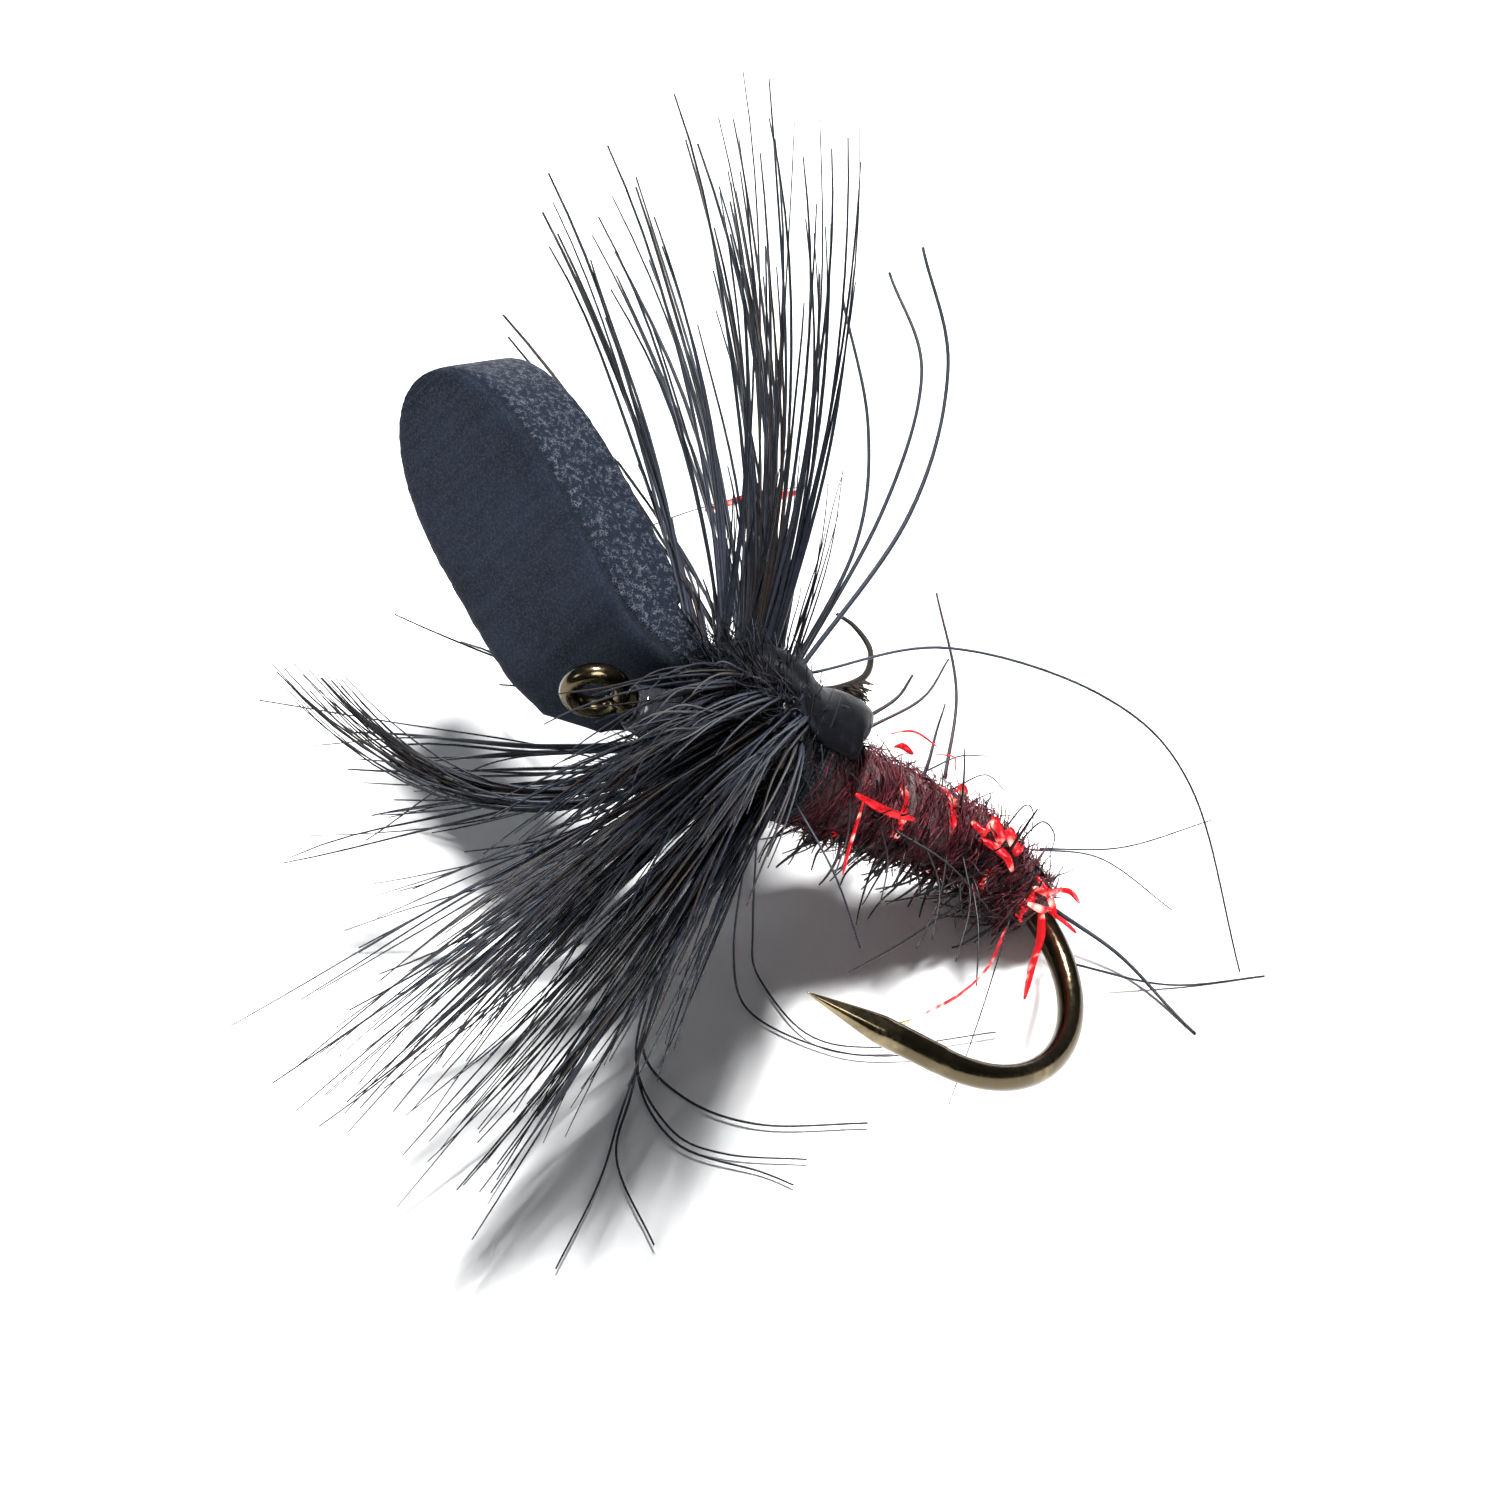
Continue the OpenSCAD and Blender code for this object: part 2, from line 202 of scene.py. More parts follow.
def curve_through(points, stations):
    """A smooth path through a few points: Catmull-Rom spans evaluated together at even steps."""
    p = np.asarray(points, float)
    p = np.concatenate([[2 * p[0] - p[1]], p, [2 * p[-1] - p[-2]]])
    u = np.linspace(0, len(p) - 3 - 1e-9, stations)
    i = u.astype(int)
    t = (u - i)[:, None]
    a, b, c, d = p[i], p[i + 1], p[i + 2], p[i + 3]
    return 0.5 * (2 * b + (c - a) * t + (2 * a - 5 * b + 4 * c - d) * t ** 2 + (3 * b - a - 3 * c + d) * t ** 3)


def ripple_field(seed, u, v, waves=7, reach=9.0):
    """Smooth seeded unevenness: the mean of sines of random slope over two parameters."""
    rng = np.random.default_rng(seed)
    total = 0.0
    for _ in range(waves):
        fu, fv, ph = rng.uniform(1, reach), rng.integers(1, 6), rng.uniform(0, 6.283)
        total = total + np.sin(fu * u + fv * v + ph)
    return total / waves


def radial(phi, lean):
    """Unit directions from the shank: angle phi from the back towards the upper side, leaning forward."""
    return np.stack([-np.sin(lean), np.cos(lean) * np.cos(phi), np.cos(lean) * np.sin(phi)], -1)


def coil(x0, x1, r0, r1, turns, y0, start=0.0):
    """Helix round the x axis at height y0, from (x0, r0) to (x1, r1)."""
    t = np.linspace(0, 1, int(turns * 30) + 1)
    a = start + 2 * math.pi * turns * t
    r = r0 + (r1 - r0) * t
    return np.stack([x0 + (x1 - x0) * t, y0 + r * np.cos(a), r * np.sin(a)], -1)


def body_path(s):
    """Body line at distance s: along the shank, then round the bend; returns centre, back and side ways."""
    s = np.asarray(s, float)
    past = np.maximum(s - STRAIGHT, 0)
    a = math.pi / 2 - past / BEND_R
    lift = BODY_LIFT * np.maximum(0, 1 - past / (BEND_R * BODY_TURN))
    r = BEND_R + lift
    centre = np.stack([SHANK + r * np.cos(a) + np.minimum(s - STRAIGHT, 0), r * np.sin(a) - BEND_R, 0 * s], -1)
    back = np.stack([np.cos(a), np.sin(a), 0 * s], -1)
    side = np.broadcast_to(np.array([0.0, 0.0, 1.0]), back.shape)
    return centre, back, side


def body_radius(s):
    """Body radius at distance s: full behind the hackle, thinning as s^1.5 to the rear."""
    k = np.clip(np.asarray(s, float) / BODY_LEN, 0, 1)
    return 1.0 - 0.42 * k ** 1.5 - 0.16 * np.clip(1 - (BODY_LEN - s) / 0.25, 0, 1) ** 2


def paddle_half(t):
    """Half width of the foam paddle at distance t from its hinge: 1.9 (1 - q^2.3)^(1/2.3)."""
    length, mid = 7.0, 3.6
    q = np.where(t > mid, (t - mid) / (length - mid), (mid - t) / (mid + 3.2))
    return 1.9 * np.maximum(0, 1 - q ** 2.3) ** (1 / 2.3)


def in_paddle(path, flex, room):
    """Which paths enter the foam paddle when it is flexed by an angle, with some room round it."""
    up = PADDLE_UP - flex
    d = path - HINGE
    u = -math.cos(up) * d[..., 0] + math.sin(up) * d[..., 1]
    v = math.sin(up) * d[..., 0] + math.cos(up) * d[..., 1]
    half = paddle_half(np.clip(u, 0, 6.99)) + room
    return ((u > -0.5) & (u < 7.1) & (np.abs(v) < 1 + room) & (np.abs(d[..., 2]) < half)).any(1)


# ---------------------------------------------------------------- finishes

def socket(tree, name, kind, way, default=None):
    """One named input or output of a node group."""
    made = tree.interface.new_socket(name=name, in_out=way, socket_type=kind)
    if default is not None:
        made.default_value = default
    return made


def add(tree, kind, **settings):
    """A node with its settings."""
    node = tree.nodes.new(kind)
    for key, value in settings.items():
        setattr(node, key, value)
    return node


def feed(tree, target, value):
    """A link where the value is an output, or else the input's own number."""
    if isinstance(value, bpy.types.NodeSocket):
        tree.links.new(value, target)
    else:
        target.default_value = value


def calc(tree, operation, *values, clamp=False):
    """A Math node over numbers and outputs."""
    node = add(tree, "ShaderNodeMath", operation=operation, use_clamp=clamp)
    for target, value in zip(node.inputs, values):
        feed(tree, target, value)
    return node.outputs[0]


def blend_colour(tree, factor, first, second, mode="MIX"):
    """A Mix node over two colours."""
    node = add(tree, "ShaderNodeMix", data_type="RGBA", blend_type=mode)
    feed(tree, node.inputs[0], factor)
    feed(tree, node.inputs[6], first)
    feed(tree, node.inputs[7], second)
    return node.outputs[2]


def spread(tree, value, low, high, to_low=0.0, to_high=1.0):
    """A clamped, smooth map of one range onto another."""
    node = add(tree, "ShaderNodeMapRange", interpolation_type="SMOOTHSTEP")
    for target, number in zip(node.inputs, (value, low, high, to_low, to_high)):
        feed(tree, target, number)
    return node.outputs[0]


def noise(tree, scale, detail=3.0, rough=0.6, vector=None):
    """Noise over the piece's own place, in cycles per metre."""
    node = add(tree, "ShaderNodeTexNoise")
    where = vector or add(tree, "ShaderNodeTexCoord").outputs["Object"]
    tree.links.new(where, node.inputs["Vector"])
    feed(tree, node.inputs["Scale"], scale)
    node.inputs["Detail"].default_value = detail
    node.inputs["Roughness"].default_value = rough
    return node.outputs["Fac"]


def group(name, make):
    """A shader node group made once and reused."""
    tree = bpy.data.node_groups.get(name)
    if tree is None:
        tree = bpy.data.node_groups.new(name, "ShaderNodeTree")
        make(tree)
    return tree


def strand_tint(tree):
    """Colour of a strand: root to tip, some strands drawn towards an odd colour, with streaks."""
    for label in ("Root", "Tip", "Odd"):
        socket(tree, label, "NodeSocketColor", "INPUT", (0.1, 0.1, 0.1, 1))
    socket(tree, "Odd Share", "NodeSocketFloat", "INPUT", 0.3)
    socket(tree, "Streaks", "NodeSocketFloat", "INPUT", 0.3)
    socket(tree, "Colour", "NodeSocketColor", "OUTPUT")
    socket(tree, "Height", "NodeSocketFloat", "OUTPUT")
    start, end = add(tree, "NodeGroupInput"), add(tree, "NodeGroupOutput")
    along = add(tree, "ShaderNodeAttribute", attribute_name="along").outputs["Fac"]
    tone = add(tree, "ShaderNodeAttribute", attribute_name="tone").outputs["Fac"]
    base = blend_colour(tree, spread(tree, along, 0.05, 1.0), start.outputs["Root"], start.outputs["Tip"])
    odd = calc(tree, "LESS_THAN", tone, start.outputs["Odd Share"])
    odd = calc(tree, "MULTIPLY", odd, spread(tree, noise(tree, 900.0), 0.3, 0.7, 0.35, 1.0))
    base = blend_colour(tree, odd, base, start.outputs["Odd"])
    streak = noise(tree, 5200.0, 2.0)
    dark = spread(tree, streak, 0.35, 0.7, 1.0, 0.45)
    shade = blend_colour(tree, start.outputs["Streaks"], base,
                         blend_colour(tree, 1.0, base, dark, "MULTIPLY"))
    tree.links.new(shade, end.inputs["Colour"])
    tree.links.new(streak, end.inputs["Height"])


def worn_lacquer(tree):
    """Bronze lacquer: mottled tone, rubbed brighter where the Rub value is high, with fine draw lines."""
    socket(tree, "Lacquer", "NodeSocketColor", "INPUT", (0.1, 0.07, 0.03, 1))
    socket(tree, "Bare", "NodeSocketColor", "INPUT", (0.5, 0.4, 0.2, 1))
    socket(tree, "Rub", "NodeSocketFloat", "INPUT", 0.2)
    socket(tree, "Colour", "NodeSocketColor", "OUTPUT")
    socket(tree, "Roughness", "NodeSocketFloat", "OUTPUT")
    socket(tree, "Height", "NodeSocketFloat", "OUTPUT")
    start, end = add(tree, "NodeGroupInput"), add(tree, "NodeGroupOutput")
    blotch = noise(tree, 900.0, 4.0)
    fine = noise(tree, 9000.0, 3.0)
    rub = calc(tree, "ADD", start.outputs["Rub"], calc(tree, "MULTIPLY", calc(tree, "SUBTRACT", blotch, 0.5), 0.9))
    colour = blend_colour(tree, spread(tree, rub, 0.2, 0.85), start.outputs["Lacquer"], start.outputs["Bare"])
    tree.links.new(colour, end.inputs["Colour"])
    tree.links.new(spread(tree, fine, 0.3, 0.7, 0.12, 0.24), end.inputs["Roughness"])
    tree.links.new(fine, end.inputs["Height"])


def open_cells(tree):
    """Foam cells: a pore mask and height from a cell pattern, and a slow shade over the sheet."""
    socket(tree, "Size", "NodeSocketFloat", "INPUT", 9000.0)
    socket(tree, "Pores", "NodeSocketFloat", "OUTPUT")
    socket(tree, "Shade", "NodeSocketFloat", "OUTPUT")
    socket(tree, "Height", "NodeSocketFloat", "OUTPUT")
    start, end = add(tree, "NodeGroupInput"), add(tree, "NodeGroupOutput")
    place = add(tree, "ShaderNodeTexCoord").outputs["Object"]
    cells = add(tree, "ShaderNodeTexVoronoi", feature="DISTANCE_TO_EDGE")
    tree.links.new(place, cells.inputs["Vector"])
    tree.links.new(start.outputs["Size"], cells.inputs["Scale"])
    walls = spread(tree, cells.outputs["Distance"], 0.02, 0.2, 1.0, 0.0)
    patch = spread(tree, noise(tree, 8000.0, 4.0), 0.47, 0.6)
    tree.links.new(calc(tree, "MULTIPLY", walls, patch), end.inputs["Pores"])
    tree.links.new(spread(tree, noise(tree, 700.0, 5.0), 0.3, 0.7, 0.7, 1.15), end.inputs["Shade"])
    tree.links.new(cells.outputs["Distance"], end.inputs["Height"])


def thread_wraps(tree):
    """Waxed thread: fine twist lines across the strand and a slow tone change."""
    socket(tree, "Thread", "NodeSocketColor", "INPUT", (0.02, 0.02, 0.03, 1))
    socket(tree, "Fuzz", "NodeSocketColor", "INPUT", (0.1, 0.1, 0.12, 1))
    socket(tree, "Colour", "NodeSocketColor", "OUTPUT")
    socket(tree, "Height", "NodeSocketFloat", "OUTPUT")
    start, end = add(tree, "NodeGroupInput"), add(tree, "NodeGroupOutput")
    place = add(tree, "ShaderNodeTexCoord").outputs["Object"]
    twist = add(tree, "ShaderNodeTexWave", bands_direction="DIAGONAL")
    tree.links.new(place, twist.inputs["Vector"])
    twist.inputs["Scale"].default_value = 4200.0
    twist.inputs["Distortion"].default_value = 6.0
    lines = twist.outputs["Fac"]
    tree.links.new(blend_colour(tree, spread(tree, lines, 0.55, 1.0, 0.0, 0.5), start.outputs["Thread"],
                                start.outputs["Fuzz"]), end.inputs["Colour"])
    tree.links.new(lines, end.inputs["Height"])


def material(name, build, **principled):
    """A material whose Principled numbers are set on its own inputs, and whose nodes come from build."""
    made = bpy.data.materials.new(name)
    made.use_nodes = True
    tree = made.node_tree
    shader = next(n for n in tree.nodes if n.type == "BSDF_PRINCIPLED")
    for key, value in principled.items():
        shader.inputs[key.replace("_", " ")].default_value = value
    build(tree, shader)
    return made


def bump(tree, shader, height, distance, strength=1.0):
    """A Bump node from a height to the shader's normal; distance in metres."""
    node = add(tree, "ShaderNodeBump")
    node.inputs["Distance"].default_value = distance
    node.inputs["Strength"].default_value = strength
    tree.links.new(height, node.inputs["Height"])
    tree.links.new(node.outputs["Normal"], shader.inputs["Normal"])


def rgba(colour, gain=1.0):
    """Four numbers from a colour setting."""
    return (*(min(1.0, c * gain) for c in colour[:3]), 1.0)


def strand_finish(name, root, tip, odd, share, streaks, **principled):
    """Material of hair-like strands, from the strand tint group."""
    def build(tree, shader):
        tint = add(tree, "ShaderNodeGroup", node_tree=group("Strand Tint", strand_tint))
        for key, value in (("Root", rgba(root)), ("Tip", rgba(tip)), ("Odd", rgba(odd)),
                           ("Odd Share", share), ("Streaks", streaks)):
            tint.inputs[key].default_value = value
        tree.links.new(tint.outputs["Colour"], shader.inputs["Base Color"])
        bump(tree, shader, tint.outputs["Height"], 0.00001, 0.4)
    return material(name, build, **principled)


def bronze_finish(colours):
    """Bronzed hook wire, rubbed towards gold in mottled patches, a little near the eye and more along the spear and on
    the barb.
    """
    def build(tree, shader):
        coat = add(tree, "ShaderNodeGroup", node_tree=group("Worn Lacquer", worn_lacquer))
        coat.inputs["Lacquer"].default_value = rgba(colours.bronze)
        coat.inputs["Bare"].default_value = rgba(colours.bare_wire)
        tree.links.new(add(tree, "ShaderNodeAttribute", attribute_name="tone").outputs["Fac"], coat.inputs["Rub"])
        tree.links.new(coat.outputs["Colour"], shader.inputs["Base Color"])
        tree.links.new(coat.outputs["Roughness"], shader.inputs["Roughness"])
        bump(tree, shader, coat.outputs["Height"], 0.000004, 0.35)
    return material("Bronze Wire", build, Metallic=1.0)


def foam_finish(colours):
    """Closed-cell foam: a fine skin on the sheet's faces, open cells along its cut edge, and a painted shade line where
    the two meet.
    """
    def build(tree, shader):
        cells = add(tree, "ShaderNodeGroup", node_tree=group("Open Cells", open_cells))
        cells.inputs["Size"].default_value = 19000.0
        rim = add(tree, "ShaderNodeAttribute", attribute_name="rim").outputs["Fac"]
        face = blend_colour(tree, 1.0, rgba(colours.foam), cells.outputs["Shade"], "MULTIPLY")
        grain = spread(tree, noise(tree, 22000.0, 2.0), 0.4, 0.75, 0.0, 0.5)
        face = blend_colour(tree, grain, face, rgba(colours.foam_cells, 0.6))
        edge = blend_colour(tree, cells.outputs["Pores"], rgba(colours.foam, 0.75), rgba(colours.foam_cells))
        soft = calc(tree, "ADD", rim, calc(tree, "MULTIPLY", calc(tree, "SUBTRACT", noise(tree, 2600.0), 0.5), 0.5))
        whole = blend_colour(tree, spread(tree, soft, 0.3, 0.75), face, edge)
        # Painted shade: a near-black line where the face turns into the cut edge, for the shade of the rounded rim.
        painted_rim_shade = spread(tree, calc(tree, "ABSOLUTE", calc(tree, "SUBTRACT", rim, 0.45)), 0.1, 0.45, 0.55, 0.0)
        whole = blend_colour(tree, painted_rim_shade, whole, (0.004, 0.005, 0.007, 1))
        crush = add(tree, "ShaderNodeAttribute", attribute_name="crush").outputs["Fac"]
        worn = spread(tree, noise(tree, 5200.0, 4.0, 0.7), 0.45, 0.7, 0.0, 0.35)
        tied = blend_colour(tree, worn, (0.0055, 0.0055, 0.007, 1), rgba(colours.foam, 0.8))
        tree.links.new(blend_colour(tree, crush, whole, tied), shader.inputs["Base Color"])
        tree.links.new(spread(tree, crush, 0.0, 1.0, 0.6, 0.4), shader.inputs["Roughness"])
        depth = calc(tree, "MULTIPLY", cells.outputs["Height"], spread(tree, rim, 0.2, 0.8, 0.12, 1.0))
        bump(tree, shader, depth, 0.00006, 0.8)
    return material("Foam", build, Specular_IOR_Level=0.05)


def thread_finish(colours):
    """Waxed tying thread."""
    def build(tree, shader):
        wraps = add(tree, "ShaderNodeGroup", node_tree=group("Thread Wraps", thread_wraps))
        wraps.inputs["Thread"].default_value = rgba(colours.thread)
        wraps.inputs["Fuzz"].default_value = rgba(colours.thread, 4.0)
        tree.links.new(wraps.outputs["Colour"], shader.inputs["Base Color"])
        bump(tree, shader, wraps.outputs["Height"], 0.00001, 0.6)
    return material("Tying Thread", build, Roughness=0.6, Specular_IOR_Level=0.15)


def cement_finish(colours):
    """Clear head cement over black thread: glossy, with a slightly uneven film."""
    def build(tree, shader):
        film = noise(tree, 2400.0, 2.0)
        tree.links.new(blend_colour(tree, film, rgba(colours.thread), rgba(colours.thread, 2.5)),
                       shader.inputs["Base Color"])
        tree.links.new(spread(tree, film, 0.3, 0.7, 0.06, 0.2), shader.inputs["Roughness"])
        bump(tree, shader, film, 0.00003, 0.5)
    return material("Head Cement", build, Coat_Weight=0.6, Coat_Roughness=0.05)


def tinsel_finish(colours):
    """Crinkled metallised film: hard facets of bright and deep red, which are painted facet highlights and shade, and a
    painted glow of red and pale glints.
    """
    def build(tree, shader):
        facets = add(tree, "ShaderNodeTexVoronoi")
        tree.links.new(add(tree, "ShaderNodeTexCoord").outputs["Object"], facets.inputs["Vector"])
        facets.inputs["Scale"].default_value = 3800.0
        # Painted facet light and shade: each facet is bright red at its middle and deep red towards its border.
        tone = spread(tree, facets.outputs["Distance"], 0.1, 0.6)
        tree.links.new(blend_colour(tree, tone, rgba(colours.tinsel), rgba(colours.tinsel, 0.45)),
                       shader.inputs["Base Color"])
        # Painted glints: pale hot spots mixed into the glow colour. The glow is bright at the facets' middles and dim
        # at their borders.
        painted_glint_spots = spread(tree, noise(tree, 1900.0, 2.0), 0.47, 0.55)
        glint = blend_colour(tree, painted_glint_spots, rgba(colours.tinsel), (1.0, 0.72, 0.6, 1))
        tree.links.new(blend_colour(tree, tone, glint, rgba(colours.tinsel, 0.35)), shader.inputs["Emission Color"])
        bump(tree, shader, facets.outputs["Distance"], 0.00006, 0.7)
    # The emission strength makes the painted glints glow, though the tinsel is no lamp.
    return material("Red Tinsel", build, Metallic=0.75, Roughness=0.2, Emission_Strength=1.5)


def dubbing_finish(name, dark, light, colours_scale=2600.0):
    """Packed dubbing skin under the loose fibres: felted, blotched between two tones."""
    def build(tree, shader):
        felt = noise(tree, colours_scale, 6.0, 0.75)
        tree.links.new(blend_colour(tree, spread(tree, felt, 0.35, 0.7), rgba(dark), rgba(light)),
                       shader.inputs["Base Color"])
        bump(tree, shader, felt, 0.0002, 1.0)
    return material(name, build, Roughness=0.7, Sheen_Weight=0.3)


# ---------------------------------------------------------------- settings

class FlySizes(PropertyGroup):
    """Sizes and counts of the tied pieces."""
    barb_length: FloatProperty(name="Barb Length", description="Longest hackle barb", default=0.0108,
                               unit="LENGTH", subtype="DISTANCE")
    barb_width: FloatProperty(name="Barb Width", description="Width of a barb near its root", default=0.0001,
                              unit="LENGTH", subtype="DISTANCE")
    barb_share: FloatProperty(name="Hackle Fullness", description="Share of the barbs that are tied in",
                              default=1.0, min=0.1, max=1.5, subtype="FACTOR")
    body_fibres: IntProperty(name="Body Fibres", description="Loose fibres on the dubbed body", default=2600,
                             min=100)
    rib_turns: IntProperty(name="Rib Turns", description="Turns of tinsel round the body", default=4, min=1)
    foam_thickness: FloatProperty(name="Foam Thickness", description="Thickness of the foam sheet",
                                  default=0.002, unit="LENGTH", subtype="DISTANCE")
    seed: IntProperty(name="Seed", description="Seed of the scatter of barbs and fibres", default=11)


def colour_setting(label, about, default):
    """A colour property with its name, description and default."""
    return FloatVectorProperty(name=label, description=about, default=default, subtype="COLOR", size=3,
                               min=0.0, max=1.0)


class FlyColours(PropertyGroup):
    """Colours of the materials, in linear light."""
    bronze: colour_setting("Bronze", "Lacquer of the hook wire", (0.085, 0.068, 0.04))
    bare_wire: colour_setting("Bare Wire", "Wire where the lacquer is rubbed", (0.62, 0.5, 0.28))
    thread: colour_setting("Thread", "Tying thread", (0.014, 0.014, 0.018))
    foam: colour_setting("Foam", "Face of the foam sheet", (0.0145, 0.0205, 0.034))
    foam_cells: colour_setting("Foam Cells", "Cell walls on the cut edge", (0.085, 0.096, 0.118))
    hackle: colour_setting("Hackle", "Root of the hackle barbs", (0.028, 0.033, 0.049))
    hackle_tip: colour_setting("Hackle Tip", "Tip of the hackle barbs", (0.013, 0.0155, 0.022))
    hackle_brown: colour_setting("Hackle Brown", "Barbs with a brown cast", (0.03, 0.02, 0.014))
    claret: colour_setting("Claret", "Dubbed body", (0.12, 0.017, 0.025))
    claret_dark: colour_setting("Dark Claret", "Shaded fibres of the body", (0.03, 0.01, 0.014))
    tinsel: colour_setting("Tinsel", "Metallised film", (0.95, 0.02, 0.03))
    flue: colour_setting("Flue", "Brown feather flue", (0.02, 0.013, 0.009))


def settings():
    """The fly's sizes and colours."""
    scene = bpy.context.scene
    return scene.fly_sizes, scene.fly_colours


def finish_piece(piece, body, slot, made, *nodes):
    """Gives a piece its material and its body, and hides the nodes that it stands for; the slot is not used."""
    piece.data.materials.append(made)
    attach(piece, body)
    if nodes:
        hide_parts(*nodes)
    return piece


def kept(name, make):
    """A material made once and shared."""
    return bpy.data.materials.get(name) or make()


# ---------------------------------------------------------------- pieces

class FLY_OT_hook(Operator):
    """Bronze wire hook: eye ring, tapered neck, shank, round bend, spear with barb and point."""
    bl_idname = "fly.hook"
    bl_label = "Hook"

    def execute(self, context):
        """The wire is a circle carried along one path; the eye is a ring that closes on the neck."""
        _, colours = settings()
        t = np.linspace(0, 1, 24)[:, None]
        neck = np.array([[EYE_R - 0.06, 0, 0]]) * (1 - t) + np.array([[1.0, 0, 0]]) * t
        shank = np.linspace([1.06, 0, 0], [SHANK - 0.05, 0, 0], 40)
        a = np.linspace(math.pi / 2, BEND_END, 110)
        bend = np.stack([SHANK + BEND_R * np.cos(a), BEND_R * np.sin(a) - BEND_R, 0 * a], -1)
        ahead = np.array([math.sin(BEND_END), -math.cos(BEND_END), 0])
        q = np.linspace(0.04, 1, 60)
        spear = bend[-1] + (q * SPEAR)[:, None] * ahead
        line = np.concatenate([neck, shank, bend, spear])[None]
        radius = np.concatenate([
            0.19 + (WIRE_R - 0.19) * np.clip(t[:, 0] * 1.6, 0, 1), np.full(40 + 110, WIRE_R),
            WIRE_R * (1 - np.clip((q - 0.46) / 0.54, 0, 1) ** 1.15) + 0.012])[None]
        flat = np.concatenate([np.ones(24 + 40), 1 - 0.07 * np.sin(np.linspace(0, math.pi, 110)) ** 0.5,
                               np.ones(60)])[None]
        rub = np.concatenate([0.3 - 0.2 * t[:, 0], np.full(40, 0.1), np.linspace(0.1, 0.2, 110),
                              np.linspace(0.2, 0.45, 60)])
        side = np.array([0.0, 0.0, 1.0])
        wire = ring_points(line, radius, 40, side, radius * flat)
        b = np.linspace(math.radians(16), math.radians(356), 120)
        loop = np.stack([EYE_R * np.cos(b), 0 * b, EYE_R * np.sin(b)], -1)[None]
        eye = ring_points(loop, np.full((1, 120), 0.215), 40, np.array([0.0, 1.0, 0.0]), np.full((1, 120), 0.2))
        root = bend[-1] + SPEAR * 0.42 * ahead + np.array([0, WIRE_R * 0.35, 0])
        tip = bend[-1] + SPEAR * 0.22 * ahead + np.array([0, WIRE_R + 0.4, 0])
        w = np.linspace(0, 1, 16)[:, None]
        cut = (root * (1 - w) + tip * w + np.array([0, -0.05, 0]) * np.sin(math.pi * w))[None]
        taper = (1 - w[:, 0])[None]
        barb = ring_points(cut, 0.012 + 0.16 * taper, 20, side, 0.01 + 0.13 * taper)
        wire_piece = skins("hook_wire", wire, tone=rub[None, :, None])
        eye_piece = skins("hook_eye", eye, tone=np.full((1, 1, 1), 0.22))
        barb_piece = skins("hook_barb", barb, tone=np.full((1, 1, 1), 0.7))
        made = bronze_finish(colours)
        finish_piece(wire_piece, "fly", "bronze_wire", made, "hook")
        finish_piece(eye_piece, "fly", "bronze_wire", made)
        finish_piece(barb_piece, "fly", "bronze_wire", made)
        wire_piece.visible_shadow = barb_piece.visible_shadow = False
        return {"FINISHED"}


class FLY_OT_thread(Operator):
    """Thread head, whip finish and the two bands that bind the bundle, as wound thread."""
    bl_idname = "fly.thread"
    bl_label = "Thread"

    def execute(self, context):
        """Each wrap is a helix tube; layers lie over each other with opposite lay."""
        _, colours = settings()
        made = thread_finish(colours)
        axis = np.array([1.0, 0, 0])

        def wound(name, spans, r, *nodes):
            paths = [coil(*span) for span in spans]
            longest = max(len(p) for p in paths)
            grid = np.stack([curve_through(p, longest) if len(p) < longest else p for p in paths])
            piece = tubes(name, grid, np.full(grid.shape[:2], r), 7, axis)
            return finish_piece(piece, "fly", "tying_thread", made, *nodes)

        wound("head_wraps", [(0.8, 1.78, 0.36, 0.46, 17, 0.0), (1.76, 0.86, 0.5, 0.4, 11, 0.0, 1.0),
                             (0.95, 2.3, 0.3, 0.42, 10, 0.0, 2.0)], 0.036, "thread_head")
        wound("whip_wraps", [(1.5, 1.72, 0.55, 0.57, 3, 0.0), (1.7, 1.46, 0.58, 0.56, 2, 0.0, 2.0)], 0.036,
              "whip_finish")
        wound("front_band_wraps", [(2.08, 2.36, 1.27, 1.28, 5, BUNDLE_Y), (2.37, 2.09, 1.34, 1.33, 4, BUNDLE_Y, 1.3)],
              0.042, "front_thread_band")
        wound("rear_band_wraps", [(4.63, 4.92, 1.27, 1.26, 5, BUNDLE_Y), (4.92, 4.65, 1.33, 1.33, 4, BUNDLE_Y, 0.7)],
              0.042, "rear_thread_band")
        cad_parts["thread_base"].data.materials.clear()
        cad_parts["thread_base"].data.materials.append(made)
        return {"FINISHED"}


class FLY_OT_cement(Operator):
    """Film of head cement over the thread head."""
    bl_idname = "fly.cement"
    bl_label = "Head Cement"

    def execute(self, context):
        """A sleeve round the x axis whose radius swells by a slow ripple and closes on the wraps."""
        _, colours = settings()
        x = np.linspace(0.88, 1.48, 30)
        t = np.linspace(0, 2 * math.pi, 48, endpoint=False)
        u, v = np.meshgrid((x - x[0]) / 0.6, t, indexing="ij")
        dome = 1 - (2 * u - 1) ** 8
        r = 0.41 + 0.1 * u + 0.05 * dome + 0.012 * ripple_field(3, 4 * u, v)
        rings = np.stack([x[:, None] + 0 * v, r * np.cos(v), r * np.sin(v)], -1)[None]
        piece = skins("cement_film", rings)
        finish_piece(piece, "fly", "head_cement", cement_finish(colours), "head_cement")
        return {"FINISHED"}


